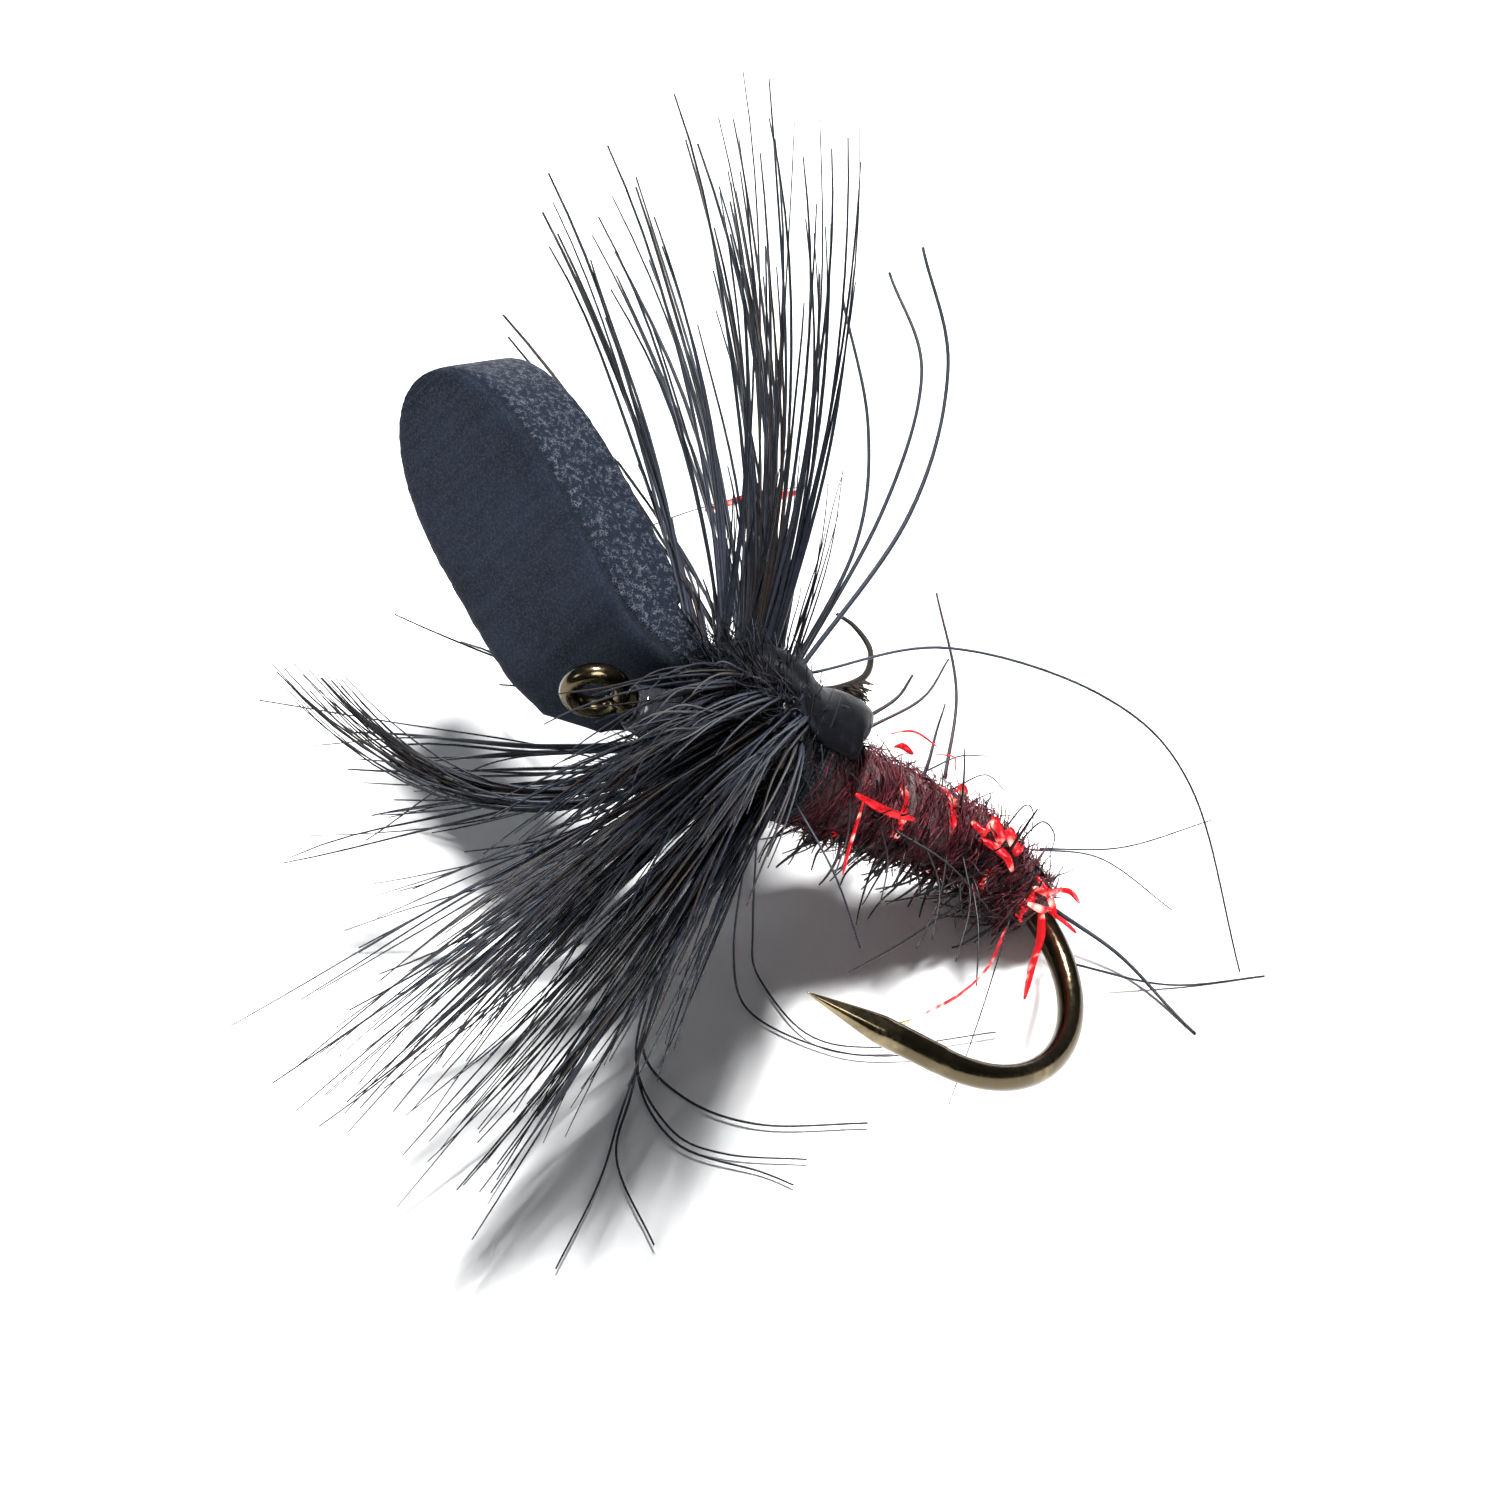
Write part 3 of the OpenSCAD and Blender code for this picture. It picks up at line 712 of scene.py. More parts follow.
class FLY_OT_foam(Operator):
    """Foam strip: rear stub folded over the body, crushed waist, and the paddle that stands over the eye."""
    bl_idname = "fly.foam"
    bl_label = "Foam Strip"

    def execute(self, context):
        """A rounded-rectangle section carried along the strip, bent round the body at the rear stub.

        Section: w = half cos^(2/n), v = thick sin^(2/n); with bend c it becomes
        v cos(cw) - (1 - cos cw)/c off the sheet and (1/c + v) sin(cw) across it.
        """
        sizes, colours = settings()
        thick = sizes.foam_thickness / MM / 2
        ahead = np.array([-math.cos(PADDLE_UP), math.sin(PADDLE_UP), 0])
        q = np.linspace(0, 1, 90)
        reach = 0.35 + (7.0 - 0.352) * (1 - (1 - q) ** 2)
        tied = np.array([[5.82, 1.05, 0], [5.8, 1.2, 0], [5.66, 1.38, 0], [5.36, 1.47, 0], [4.98, 1.47, 0],
                         [4.6, 1.43, 0], [4.3, 1.5, 0], [3.95, 1.64, 0], [3.3, 1.66, 0], [2.7, 1.45, 0],
                         [2.2, 1.12, -0.02], [1.75, 1.04, -0.12], [1.36, 1.16, -0.35]])
        half = np.array([1.75, 2.0, 2.15, 2.2, 2.2, 2.15, 2.0, 1.75, 1.5, 1.25, 1.0, 1.2, 1.5])
        deep = np.array([0.16, 0.28, 0.38, 0.42, 0.42, 0.38, 0.42, 0.55, 0.6, 0.56, 0.5, 0.56, 0.68])
        curl = np.array([0.74, 0.74, 0.74, 0.74, 0.74, 0.74, 0.72, 0.7, 0.65, 0.5, 0.15, 0.1, 0.05])
        roll = np.radians([16, 16, 16, 16, 16, 15, 13, 11, 8, 4, 0, 0, 0])
        corner = np.array([2.2, 2.2, 2.2, 2.3, 2.3, 2.3, 2.3, 2.3, 2.3, 2.4, 2.8, 3.5, 5])
        free = HINGE + reach[:, None] * ahead
        swell = np.clip((reach - 0.2) / 1.1, 0, 1)
        step = np.linspace(0, 1, 13)
        fine = np.linspace(0, 1, 60)

        def whole(key, tail):
            return np.concatenate([curve_through(np.stack([key, 0 * key, 0 * key], -1), 60)[:, 0], tail])

        line = np.concatenate([curve_through(tied, 60), free])
        half = whole(half, np.maximum(paddle_half(reach), 0.02))
        deep = whole(deep, 0.74 + (thick - 0.74) * swell * (2 - swell))
        curl = np.maximum(whole(curl, 0.04 * (1 - swell)), 1e-3)
        roll = whole(roll, 0 * swell)
        corner = whole(corner, 5 + 6 * swell)
        way = unit(np.gradient(line, axis=0) * np.array([1, 1, 0]))
        off = np.stack([way[:, 1], -way[:, 0], 0 * way[:, 0]], -1)
        dense = np.linspace(0, 2 * math.pi, 1440, endpoint=False)
        cw, sv = np.cos(dense), np.sin(dense)
        loop = np.stack([1.9 * np.sign(cw) * np.abs(cw) ** 0.2, np.sign(sv) * np.abs(sv) ** 0.2], -1)
        run = np.concatenate([[0], np.cumsum(np.linalg.norm(np.diff(loop, axis=0), axis=1))])
        t = np.interp(np.linspace(0, run[-1], 88, endpoint=False), run, dense)
        power = 2 / corner[:, None]
        w = half[:, None] * np.sign(np.cos(t)) * np.abs(np.cos(t)) ** power
        v = deep[:, None] * np.sign(np.sin(t)) * np.abs(np.sin(t)) ** power
        s = np.linspace(0, 1, len(line))[:, None] + 0 * t
        v = v * (1 + 0.02 * ripple_field(5, 40 * s, t))
        w = w * (1 + 0.012 * ripple_field(6, 60 * s, t, 9, 3.0))
        c = curl[:, None]
        lift = v * np.cos(c * w) - (1 - np.cos(c * w)) / c
        across = (1 / c + v) * np.sin(c * w)
        side = np.array([0.0, 0.0, 1.0])
        points = line[:, None] + lift[..., None] * off[:, None] + across[..., None] * side
        y, z = points[..., 1] - 0.15, points[..., 2]
        cr, sr = np.cos(roll)[:, None], np.sin(roll)[:, None]
        points = np.stack([points[..., 0], 0.15 + y * cr - z * sr, y * sr + z * cr], -1)
        rim = np.clip((np.abs(w) / np.maximum(half[:, None], 1e-6) - 0.93) / 0.06, 0, 1)
        rim = rim * (line[:, :1] < 2.2)
        crush = np.clip((line[:, :1] - 1.2) / 1.2, 0, 1) + 0 * rim
        piece = skins("foam_strip", points[None], rim=rim[None], crush=crush[None])
        piece.data.materials.append(foam_finish(colours))
        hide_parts("foam_back", "foam_paddle")
        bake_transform(piece)
        return {"FINISHED"}


class FLY_OT_body(Operator):
    """Claret dubbed body: a felted core with rope-like turns, and loose fibres standing off it."""
    bl_idname = "fly.body"
    bl_label = "Dubbed Body"

    def execute(self, context):
        """Core radius = body radius (1 + ridge of the dubbing rope's helix + ripple); fibres leave it nearly flat."""
        sizes, colours = settings()
        rng = np.random.default_rng(sizes.seed)
        s = np.linspace(0, BODY_LEN, 190)
        t = np.linspace(0, 2 * math.pi, 72, endpoint=False)
        u, v = np.meshgrid(s, t, indexing="ij")
        rope = np.abs(np.sin(u * 3.4 + v / 2)) ** 0.6
        r = (body_radius(u) - 0.05) * (0.9 + 0.1 * rope + 0.035 * ripple_field(8, 5 * u, v, 12, 12.0))
        centre, back, side = body_path(s)
        rings = centre[:, None] + (r * np.cos(v))[..., None] * back[:, None] + (r * np.sin(v))[..., None] * side[:, None]
        core = skins("body_core", rings[None])
        finish_piece(core, "fly", "dubbing_claret",
                     dubbing_finish("Claret Felt", colours.claret_dark, colours.claret), "body_dubbing")
        n = sizes.body_fibres
        fs = rng.uniform(0.02, BODY_LEN - 0.02, n)
        ft = rng.uniform(0, 2 * math.pi, n)
        centre, back, side = body_path(fs)
        out = np.cos(ft)[:, None] * back + np.sin(ft)[:, None] * side
        wrap = -np.sin(ft)[:, None] * back + np.cos(ft)[:, None] * side
        aft = np.cross(wrap, out)
        root = centre + (body_radius(fs) - 0.1)[:, None] * out
        way = rng.choice([-1.0, 1.0], n)[:, None]
        start = unit(out * rng.uniform(0.04, 0.24, n)[:, None] + wrap * way + aft * rng.normal(0.3, 0.3, n)[:, None])
        end = unit(out * rng.uniform(-0.8, -0.2, n)[:, None] + wrap * way
                   + aft * rng.normal(0.3, 0.45, n)[:, None])
        length = rng.uniform(0.4, 1.2, n)
        path = bent_paths(root, start, end, length, 8, rng.uniform(0, 0.06, n), rng.uniform(0, 6, n), aft)
        path = keep_above(path)
        radius = 0.024 * (1 - 0.7 * np.linspace(0, 1, 8)[None]) * rng.uniform(0.6, 1.3, n)[:, None]
        fluff = tubes("body_fibres", path, radius, 4, out[:, None], tone=rng.uniform(0, 1, n))
        finish_piece(fluff, "fly", "dubbing_claret", strand_finish(
            "Claret Fibres", colours.claret, colours.claret, colours.claret_dark, 0.5, 0.6,
            Roughness=0.34, Specular_IOR_Level=0.16))
        return {"FINISHED"}


class FLY_OT_thorax(Operator):
    """Black dubbing over the tied-down foam, under the hackle."""
    bl_idname = "fly.thorax"
    bl_label = "Thorax Dubbing"

    def execute(self, context):
        """A sleeve of ripple-swollen radius round the bundle, with short loose fibres."""
        sizes, colours = settings()
        rng = np.random.default_rng(sizes.seed + 1)
        x = np.linspace(2.12, 4.72, 80)
        t = np.linspace(0, 2 * math.pi, 64, endpoint=False)
        u, v = np.meshgrid(x, t, indexing="ij")
        edge = np.clip(np.minimum(u - 2.1, 4.74 - u) / 0.12, 0, 1) ** 0.5
        r = (1.15 + 0.06 * ripple_field(12, 6 * u, v, 10)) * (0.9 + 0.1 * edge)
        rings = np.stack([u, BUNDLE_Y + r * np.cos(v), r * np.sin(v)], -1)[None]
        core = skins("thorax_core", rings)
        felt = kept("Black Felt", lambda: dubbing_finish("Black Felt", (0.006, 0.006, 0.008), (0.022, 0.018, 0.022)))
        finish_piece(core, "fly", "dubbing_black", felt, "thorax_dubbing")
        n = 1300
        fx, ft = rng.uniform(1.9, 4.6, n), rng.uniform(0, 2 * math.pi, n)
        out = np.stack([0 * ft, np.cos(ft), np.sin(ft)], -1)
        wrap = np.stack([0 * ft, -np.sin(ft), np.cos(ft)], -1)
        root = np.stack([fx, BUNDLE_Y + 1.12 * np.cos(ft), 1.12 * np.sin(ft)], -1)
        start = unit(out * rng.uniform(0.3, 1.0, n)[:, None] + wrap * rng.normal(0, 1, n)[:, None]
                     + np.array([-0.6, 0, 0]) * rng.uniform(0, 1.4, n)[:, None])
        end = unit(start + wrap * rng.normal(0, 0.8, n)[:, None] - out * rng.uniform(0, 0.9, n)[:, None])
        length = rng.uniform(0.4, 1.5, n)
        path = bent_paths(root, start, end, length, 8, rng.uniform(0, 0.08, n), rng.uniform(0, 6, n), wrap)
        keep = ~(in_paddle(path, 0, 0.05) | in_paddle(path, math.radians(20), 0.05))
        path = keep_above(path[keep])
        radius = 0.024 * (1 - 0.7 * np.linspace(0, 1, 8)[None]) * rng.uniform(0.6, 1.3, n)[keep][:, None]
        fluff = tubes("thorax_fibres", path, radius, 4, out[keep][:, None], tone=rng.uniform(0, 1, n)[keep])
        finish_piece(fluff, "fly", "dubbing_black", black_strands(colours))
        return {"FINISHED"}


def black_strands(colours):
    """The hackle's material, shared by its barbs and stray hairs."""
    return kept("Hackle", lambda: strand_finish(
        "Hackle", colours.hackle, colours.hackle_tip, colours.hackle_brown, 0.2, 0.5,
        Roughness=0.4, Specular_IOR_Level=0.2))


# Each fan of barbs is tied in over a span of angles from the back and of places along the shank. Its
# barbs leave and arrive with a forward lean that goes from the first number at the front of the span to
# the second at its rear, and with their angle from the back turned on by start and end turns. A fan with a
# loose number below one keeps its clumps tight, and a stout one has wider barbs.
FANS = {
    "front_crown": dict(barbs=30, clumps=7, phi=(-26, 28), x=(2.7, 3.5), lean=(18, 8), to=(38, 30),
                        turn=(28, 28), length=(0.62, 1.02), stout=1.35),
    "rear_top": dict(barbs=46, clumps=9, phi=(-20, 30), x=(3.5, 4.35), lean=(12, 4), to=(33, 22),
                     turn=(28, 28), length=(0.72, 1.13), stout=1.35),
    "rear_back": dict(barbs=10, clumps=4, phi=(-42, 6), x=(3.5, 4.2), lean=(22, 8), to=(38, 28),
                      turn=(0, 0), length=(0.5, 0.85)),
    "front_upper": dict(barbs=76, clumps=28, phi=(70, 124), x=(2.45, 3.3), lean=(56, 46), to=(40, 33),
                        turn=(68, 82), length=(0.36, 0.78)),
    "rear_upper": dict(barbs=76, clumps=28, phi=(74, 124), x=(3.45, 4.4), lean=(44, 34), to=(36, 27),
                       turn=(70, 82), length=(0.42, 0.86)),
    "front_belly": dict(barbs=46, clumps=12, phi=(120, 182), x=(2.45, 3.3), lean=(46, 38), to=(38, 30),
                        turn=(18, 38), length=(0.5, 0.9)),
    "rear_belly": dict(barbs=46, clumps=12, phi=(120, 182), x=(3.45, 4.25), lean=(34, 24), to=(30, 20),
                       turn=(18, 36), length=(0.55, 0.9)),
    "front_low": dict(barbs=64, clumps=20, phi=(186, 236), x=(2.45, 3.3), lean=(42, 34), to=(38, 30),
                      turn=(0, -6), length=(0.62, 1.0)),
    "rear_low": dict(barbs=64, clumps=20, phi=(182, 232), x=(3.45, 4.25), lean=(28, 16), to=(34, 20),
                     turn=(0, -6), length=(0.7, 1.02)),
    "front_under": dict(barbs=22, clumps=16, phi=(238, 292), x=(2.45, 3.3), lean=(42, 36), to=(46, 40),
                        turn=(0, 4), length=(0.48, 0.76)),
    "front_swept": dict(barbs=34, clumps=2, phi=(236, 244), x=(2.5, 2.9), lean=(34, 30), to=(54, 50),
                        turn=(18, 124), length=(0.74, 0.92), loose=0.4),
    "top_web": dict(barbs=90, clumps=12, phi=(-22, 30), x=(2.8, 4.35), lean=(16, 4), to=(28, 16),
                    turn=(28, 28), length=(0.2, 0.46)),
    "rear_under": dict(barbs=16, clumps=8, phi=(238, 316), x=(3.45, 4.2), lean=(30, 24), to=(42, 34),
                       turn=(0, 6), length=(0.5, 0.78)),
}
STANDS_FOR = {
    "rear_top": "rear_hackle_top_barbs", "front_upper": "front_hackle_upper_barbs",
    "rear_upper": "rear_hackle_upper_barbs", "front_low": "front_hackle_low_barbs",
    "rear_low": "rear_hackle_low_barbs", "front_under": "front_hackle_under_barbs",
    "rear_under": "rear_hackle_under_barbs"}


class FLY_OT_hackle(Operator):
    """Both hackles: stems wound round the bundle, and every barb as its own curved, tapered strand."""
    bl_idname = "fly.hackle"
    bl_label = "Hackle"

    def execute(self, context):
        """Barbs leave the stem in clumps and part towards their tips; those that reach the surface lie along it."""
        sizes, colours = settings()
        made = black_strands(colours)
        stem_made = strand_finish("Hackle Stem", (0.03, 0.024, 0.018), (0.012, 0.011, 0.012), (0.05, 0.04, 0.03),
                                  0.0, 0.6, Roughness=0.4)
        for name, x0, start in (("front_hackle_stem", FRONT_X, 0.3), ("rear_hackle_stem", REAR_X, 1.1)):
            path = coil(x0, x0 + 0.72, 1.28, 1.3, 3, BUNDLE_Y, start)[None]
            piece = tubes(name + "_quill", path, 0.1 - 0.03 * np.linspace(0, 1, path.shape[1])[None], 10,
                          np.array([1.0, 0, 0]))
            finish_piece(piece, "fly", "hackle_stem", stem_made, name)
        for index, (name, fan) in enumerate(FANS.items()):
            rng = np.random.default_rng(sizes.seed * 100 + index)
            n, clumps = int(fan["barbs"] * sizes.barb_share), fan["clumps"]
            loose = fan.get("loose", 1.0)
            middle, place = (np.arange(clumps) + rng.uniform(0.15, 0.85, clumps)) / clumps, rng.uniform(0, 1, clumps)
            clump_turn, clump_lean = rng.normal(0, 6 * loose, clumps), rng.normal(0, 4 * loose, clumps)
            pick = rng.integers(0, clumps, n)
            across = middle[pick] + rng.normal(0, 0.12 / clumps, n)
            k = np.clip(place[pick] + rng.normal(0, 0.06, n), 0, 1)
            phi = np.radians(fan["phi"][0] + (fan["phi"][1] - fan["phi"][0]) * across)
            x = fan["x"][0] + (fan["x"][1] - fan["x"][0]) * k
            lean = np.radians(fan["lean"][0] + (fan["lean"][1] - fan["lean"][0]) * k + rng.normal(0, 1.5, n))
            to = np.radians(fan["to"][0] + (fan["to"][1] - fan["to"][0]) * k + clump_lean[pick]
                            + rng.normal(0, 4 * loose, n))
            out = phi + np.radians(fan["turn"][0] + 0.5 * clump_turn[pick])
            arrive = phi + np.radians(fan["turn"][1] + clump_turn[pick] + rng.normal(0, 4.5 * loose, n))
            root = np.stack([x, BUNDLE_Y + 1.2 * np.cos(phi), 1.2 * np.sin(phi)], -1)
            start, end = radial(out, lean), radial(arrive, to)
            length = sizes.barb_length / MM * rng.uniform(*fan["length"], n)
            wrap = np.stack([0 * phi, -np.sin(out), np.cos(out)], -1)
            m = 13
            path = bent_paths(root, start, end, length, m, rng.normal(0, 0.1, n), rng.uniform(0, 6, n), wrap)
            keep = (np.linalg.norm(path, axis=-1) > 0.95).all(1)
            for flex in (-8, 0, 10, 20):
                keep &= ~in_paddle(path, math.radians(flex), 0.1)
            path = keep_above(path[keep])
            t = np.linspace(0, 1, m)[None]
            thick = rng.uniform(0.75, 1.25, n)[keep][:, None] * sizes.barb_width / MM / 2 * fan.get("stout", 1.0)
            radius = thick * (0.32 + 0.68 * (1 - t) ** 0.8 + 0.5 * np.exp(-(t / 0.14) ** 2))
            piece = tubes("barbs_" + name, path, radius, 4, start[keep][:, None] + wrap[keep][:, None],
                          radius * 0.7, rng.uniform(0, 1, n)[keep])
            stands = (STANDS_FOR[name],) if name in STANDS_FOR else ()
            finish_piece(piece, "fly", "hackle_black", made, *stands)
        return {"FINISHED"}


class FLY_OT_web(Operator):
    """Short webby barbs and wisps that crowd round the thread head and over the collar."""
    bl_idname = "fly.web"
    bl_label = "Hackle Web"

    def execute(self, context):
        """Roots lie on the front of the bundle; the wisps lean forward, turn downwards and stop short."""
        sizes, colours = settings()
        rng = np.random.default_rng(sizes.seed + 21)
        n = 900
        phi = np.radians(rng.uniform(48, 250, n))
        k = rng.uniform(0, 1, n)
        x = 1.9 + 2.3 * k
        r = 1.02 + 0.15 * k
        root = np.stack([x, BUNDLE_Y * np.clip(k * 3, 0.2, 1) + r * np.cos(phi), r * np.sin(phi)], -1)
        root[:, 1:] *= np.clip(0.62 + 1.2 * k, 0, 1)[:, None]
        lean = np.radians(rng.uniform(40, 72, n))
        start = radial(phi + np.radians(rng.normal(15, 14, n)), lean)
        end = radial(phi + np.radians(rng.normal(50, 25, n)), np.radians(rng.uniform(25, 60, n)))
        length = rng.uniform(0.8, 2.4, n)
        wrap = np.stack([0 * phi, -np.sin(phi), np.cos(phi)], -1)
        path = bent_paths(root, start, end, length, 10, rng.normal(0, 0.08, n), rng.uniform(0, 6, n), wrap)
        keep = (np.linalg.norm(path, axis=-1) > 0.98).all(1) & (path[..., 0] > 0.6).all(1)
        for flex in (-8, 0, 10, 20):
            keep &= ~in_paddle(path, math.radians(flex), 0.06)
        path = keep_above(path[keep])
        t = np.linspace(0, 1, 10)[None]
        radius = rng.uniform(0.022, 0.04, n)[keep][:, None] * (1 - 0.75 * t)
        piece = tubes("barb_web", path, radius, 4, start[keep][:, None] + wrap[keep][:, None], radius * 0.6,
                      rng.uniform(0, 1, n)[keep])
        made = strand_finish("Hackle Web", colours.hackle, (0.014, 0.017, 0.024), colours.hackle_brown, 0.15, 0.5,
                             Roughness=0.5, Specular_IOR_Level=0.22)
        finish_piece(piece, "fly", "hackle_black", made)
        return {"FINISHED"}


def strand_set(name, routes, width, tone, body, slot, made, *nodes, stations=26, flat=1.0, root_share=0.3,
               swell=False):
    """Loose strands through a few points each, tapering to root_share of their width, or widest midway."""
    grid = np.stack([curve_through(route, stations) for route in routes])
    grid = keep_above(grid)
    t = np.linspace(0, 1, stations)[None]
    taper = 0.3 + 0.7 * np.sin(math.pi * t) ** 0.6 if swell else 1 - (1 - root_share) * t
    wide = np.asarray(width, float)[:, None] * taper
    piece = tubes(name, grid, wide, 6, np.array([0.3, 0.5, 0.8]), wide * flat, tone)
    return finish_piece(piece, body, slot, made, *nodes)


class FLY_OT_strays(Operator):
    """Long stray barbs that have come loose from the hackle and the tail end."""
    bl_idname = "fly.strays"
    bl_label = "Stray Barbs"

    def execute(self, context):
        """Each is a smooth curve through a few points, thinning to its tip."""
        _, colours = settings()
        routes = [
            [(4.4, 1.7, 1.0), (6.6, 2.2, 2.6), (9.6, 1.6, 3.6), (11.6, 0.2, 3.6), (13.6, -2.6, 2.2)],
            [(4.2, 1.7, 0.6), (4.9, 4.6, 3.0), (5.0, 7.2, 4.4), (4.2, 9.3, 4.6)],
            [(4.15, 1.6, 0.9), (5.4, 4.6, 3.2), (5.5, 7.4, 4.6), (4.6, 9.7, 5.2)],
            [(4.1, 1.7, 0.8), (4.6, 4.0, 2.5), (4.3, 6.2, 3.5), (3.4, 8.6, 4.1)],
            [(10.2, 0.2, 0.5), (11.4, 0.0, 1.6), (12.6, 0.3, 2.9)],
            [(10.2, 0.4, 0.2), (11.4, 0.2, 0.9), (12.6, -1.0, 1.5)],
            [(10.6, -1.0, 0.3), (12.0, -2.0, 0.7), (13.4, -3.6, 0.9)],
            [(11.0, -2.3, 0.4), (13.0, -2.4, 0.9), (14.8, -2.2, 1.4)],
            [(2.8, -0.3, -1.0), (1.0, 1.5, -3.4), (-1.0, 2.6, -5.4), (-3.0, 3.4, -7.0)],
            [(2.7, 0.6, -1.3), (0.4, 1.2, -4.0), (-1.0, 0.3, -6.4)],
            [(3.9, -0.9, 0.6), (4.8, -3.0, 0.9), (5.6, -4.4, 0.6)],
            [(3.5, -0.9, -0.7), (3.8, -2.6, -2.8), (4.2, -3.7, -4.7), (5.0, -4.9, -4.5), (6.2, -5.6, -3.7),
             (7.9, -5.65, -2.5)],
            [(3.6, -1.0, -0.6), (3.7, -2.9, -3.0), (4.2, -4.2, -4.9), (4.8, -6.0, -4.6), (6.2, -6.75, -3.75),
             (6.7, -7.1, -3.4)],
            [(3.5, -0.9, -0.5), (3.6, -2.6, -2.9), (4.1, -4.0, -4.8), (4.7, -5.7, -4.6), (5.6, -6.3, -4.1),
             (6.9, -6.5, -3.2)],
            [(3.4, -1.0, -0.7), (3.6, -3.2, -3.2), (4.1, -4.8, -5.0), (3.9, -6.4, -5.3), (4.4, -8.5, -4.9)],
            [(3.5, -1.1, -0.6), (3.7, -3.4, -3.2), (4.0, -5.0, -5.1), (3.6, -6.9, -5.5), (2.85, -9.0, -6.0)],
            [(4.0, -1.0, -0.3), (5.6, -1.4, -2.8), (6.3, -1.9, -3.65), (7.0, -3.4, -3.1), (8.1, -3.8, -2.3),
             (10.0, -3.5, -1.0)],
            [(4.0, -1.0, -0.5), (5.4, -1.9, -3.2), (6.2, -2.9, -3.7), (7.6, -3.9, -2.7), (9.3, -4.0, -1.5)],
        ]
        width = [0.032, 0.052, 0.056, 0.05, 0.02, 0.02, 0.048, 0.028, 0.022, 0.022, 0.028, 0.034, 0.032, 0.03,
                 0.034, 0.03, 0.024, 0.026]
        tone = np.linspace(0.3, 0.9, len(routes))
        strand_set("stray_strands", routes, width, tone, "fly", "hackle_black", black_strands(colours),
                   "stray_barbs", stations=48, root_share=0.6)
        return {"FINISHED"}


class FLY_OT_guard_hairs(Operator):
    """Guard hairs that stand out of the dubbing, straight, hooked and looped."""
    bl_idname = "fly.guard_hairs"
    bl_label = "Guard Hairs"

    def execute(self, context):
        """Scattered hairs are bent paths off the body skin; the long ones run through set points."""
        sizes, colours = settings()
        rng = np.random.default_rng(sizes.seed + 5)
        n = 170
        s = rng.uniform(0.5, BODY_LEN - 0.05, n)
        t = math.radians(212) + rng.normal(0, 0.85, n)
        centre, back, side = body_path(s)
        out = np.cos(t)[:, None] * back + np.sin(t)[:, None] * side
        wrap = -np.sin(t)[:, None] * back + np.cos(t)[:, None] * side
        aft = np.cross(wrap, out)
        start = unit(out + aft * rng.uniform(-0.2, 0.9, n)[:, None] + wrap * rng.normal(0, 0.5, n)[:, None])
        end = unit(start + wrap * rng.normal(0, 0.9, n)[:, None] + aft * rng.normal(0.2, 0.6, n)[:, None])
        length = 0.45 + 1.3 * rng.uniform(0, 1, n) ** 2
        path = bent_paths(centre + (body_radius(s) - 0.12)[:, None] * out, start, end, length, 12,
                          rng.uniform(0, 0.1, n), rng.uniform(0, 6, n), wrap)
        path = keep_above(path)
        radius = rng.uniform(0.028, 0.05, n)[:, None] * (1 - 0.6 * np.linspace(0, 1, 12)[None])
        made = strand_finish("Guard Hairs", (0.005, 0.004, 0.005), (0.008, 0.005, 0.006), colours.claret_dark, 0.3, 0.4,
                             Roughness=0.42, Specular_IOR_Level=0.3)
        piece = tubes("guard_hair_scatter", path, radius, 5, wrap[:, None], tone=rng.uniform(0, 1, n))
        finish_piece(piece, "fly", "dubbing_black", made, "guard_hairs")
        routes = [
            [(7.9, 0.9, 0.6), (7.85, 2.7, 1.2), (7.2, 4.6, 1.6)],
            [(6.2, 1.5, 0.5), (7.0, 2.1, 1.2), (7.4, 3.0, 1.6)],
            [(6.0, 1.6, 0.4), (6.5, 2.0, 1.0), (6.8, 2.6, 1.2)],
            [(7.4, 0.8, 0.7), (7.9, 1.1, 1.1), (8.3, 1.0, 1.5)],
            [(8.0, 0.6, 0.7), (8.5, 0.9, 1.1), (8.9, 0.6, 1.2)],
            [(9.2, 0.1, 0.7), (9.4, 0.5, 1.1), (9.7, 0.6, 1.0), (9.8, 0.2, 0.8)],
            [(9.6, 0.0, 0.6), (9.9, 0.4, 1.0), (10.2, 0.2, 1.0), (10.2, -0.2, 0.8)],
            [(6.6, -1.0, 0.6), (7.6, -1.6, 0.9), (8.6, -2.2, 0.8)],
            [(5.4, -0.9, 0.8), (5.2, -2.0, 0.9), (5.0, -2.9, 0.7)],
            [(6.3, -0.9, 0.5), (6.3, -2.0, 0.7), (6.2, -3.0, 0.5)],
            [(7.4, -0.7, 0.4), (7.6, -2.0, 0.6), (7.5, -3.2, 0.4)],
            [(8.0, -0.8, 0.4), (7.8, -2.0, 0.3), (7.4, -3.2, 0.0)],
            [(8.3, -0.8, 0.5), (8.4, -2.0, 0.5), (8.2, -3.3, 0.2)],
            [(8.6, -0.9, 0.3), (8.8, -2.2, 0.2), (8.9, -3.4, -0.1)],
            [(8.9, -1.2, 0.2), (7.4, -2.8, -0.2), (6.2, -3.9, -0.6)],
            [(9.6, -1.6, 0.2), (9.4, -3.4, -0.6), (8.9, -5.6, -1.2)],
        ]
        width = [0.046, 0.04, 0.05, 0.022, 0.02, 0.02, 0.022, 0.028, 0.028, 0.028, 0.028, 0.03, 0.03, 0.03, 0.028,
                 0.02]
        strand_set("guard_hair_long", routes, width, np.linspace(0.2, 0.9, len(routes)), "fly", "dubbing_black", made,
                   root_share=0.5)
        return {"FINISHED"}


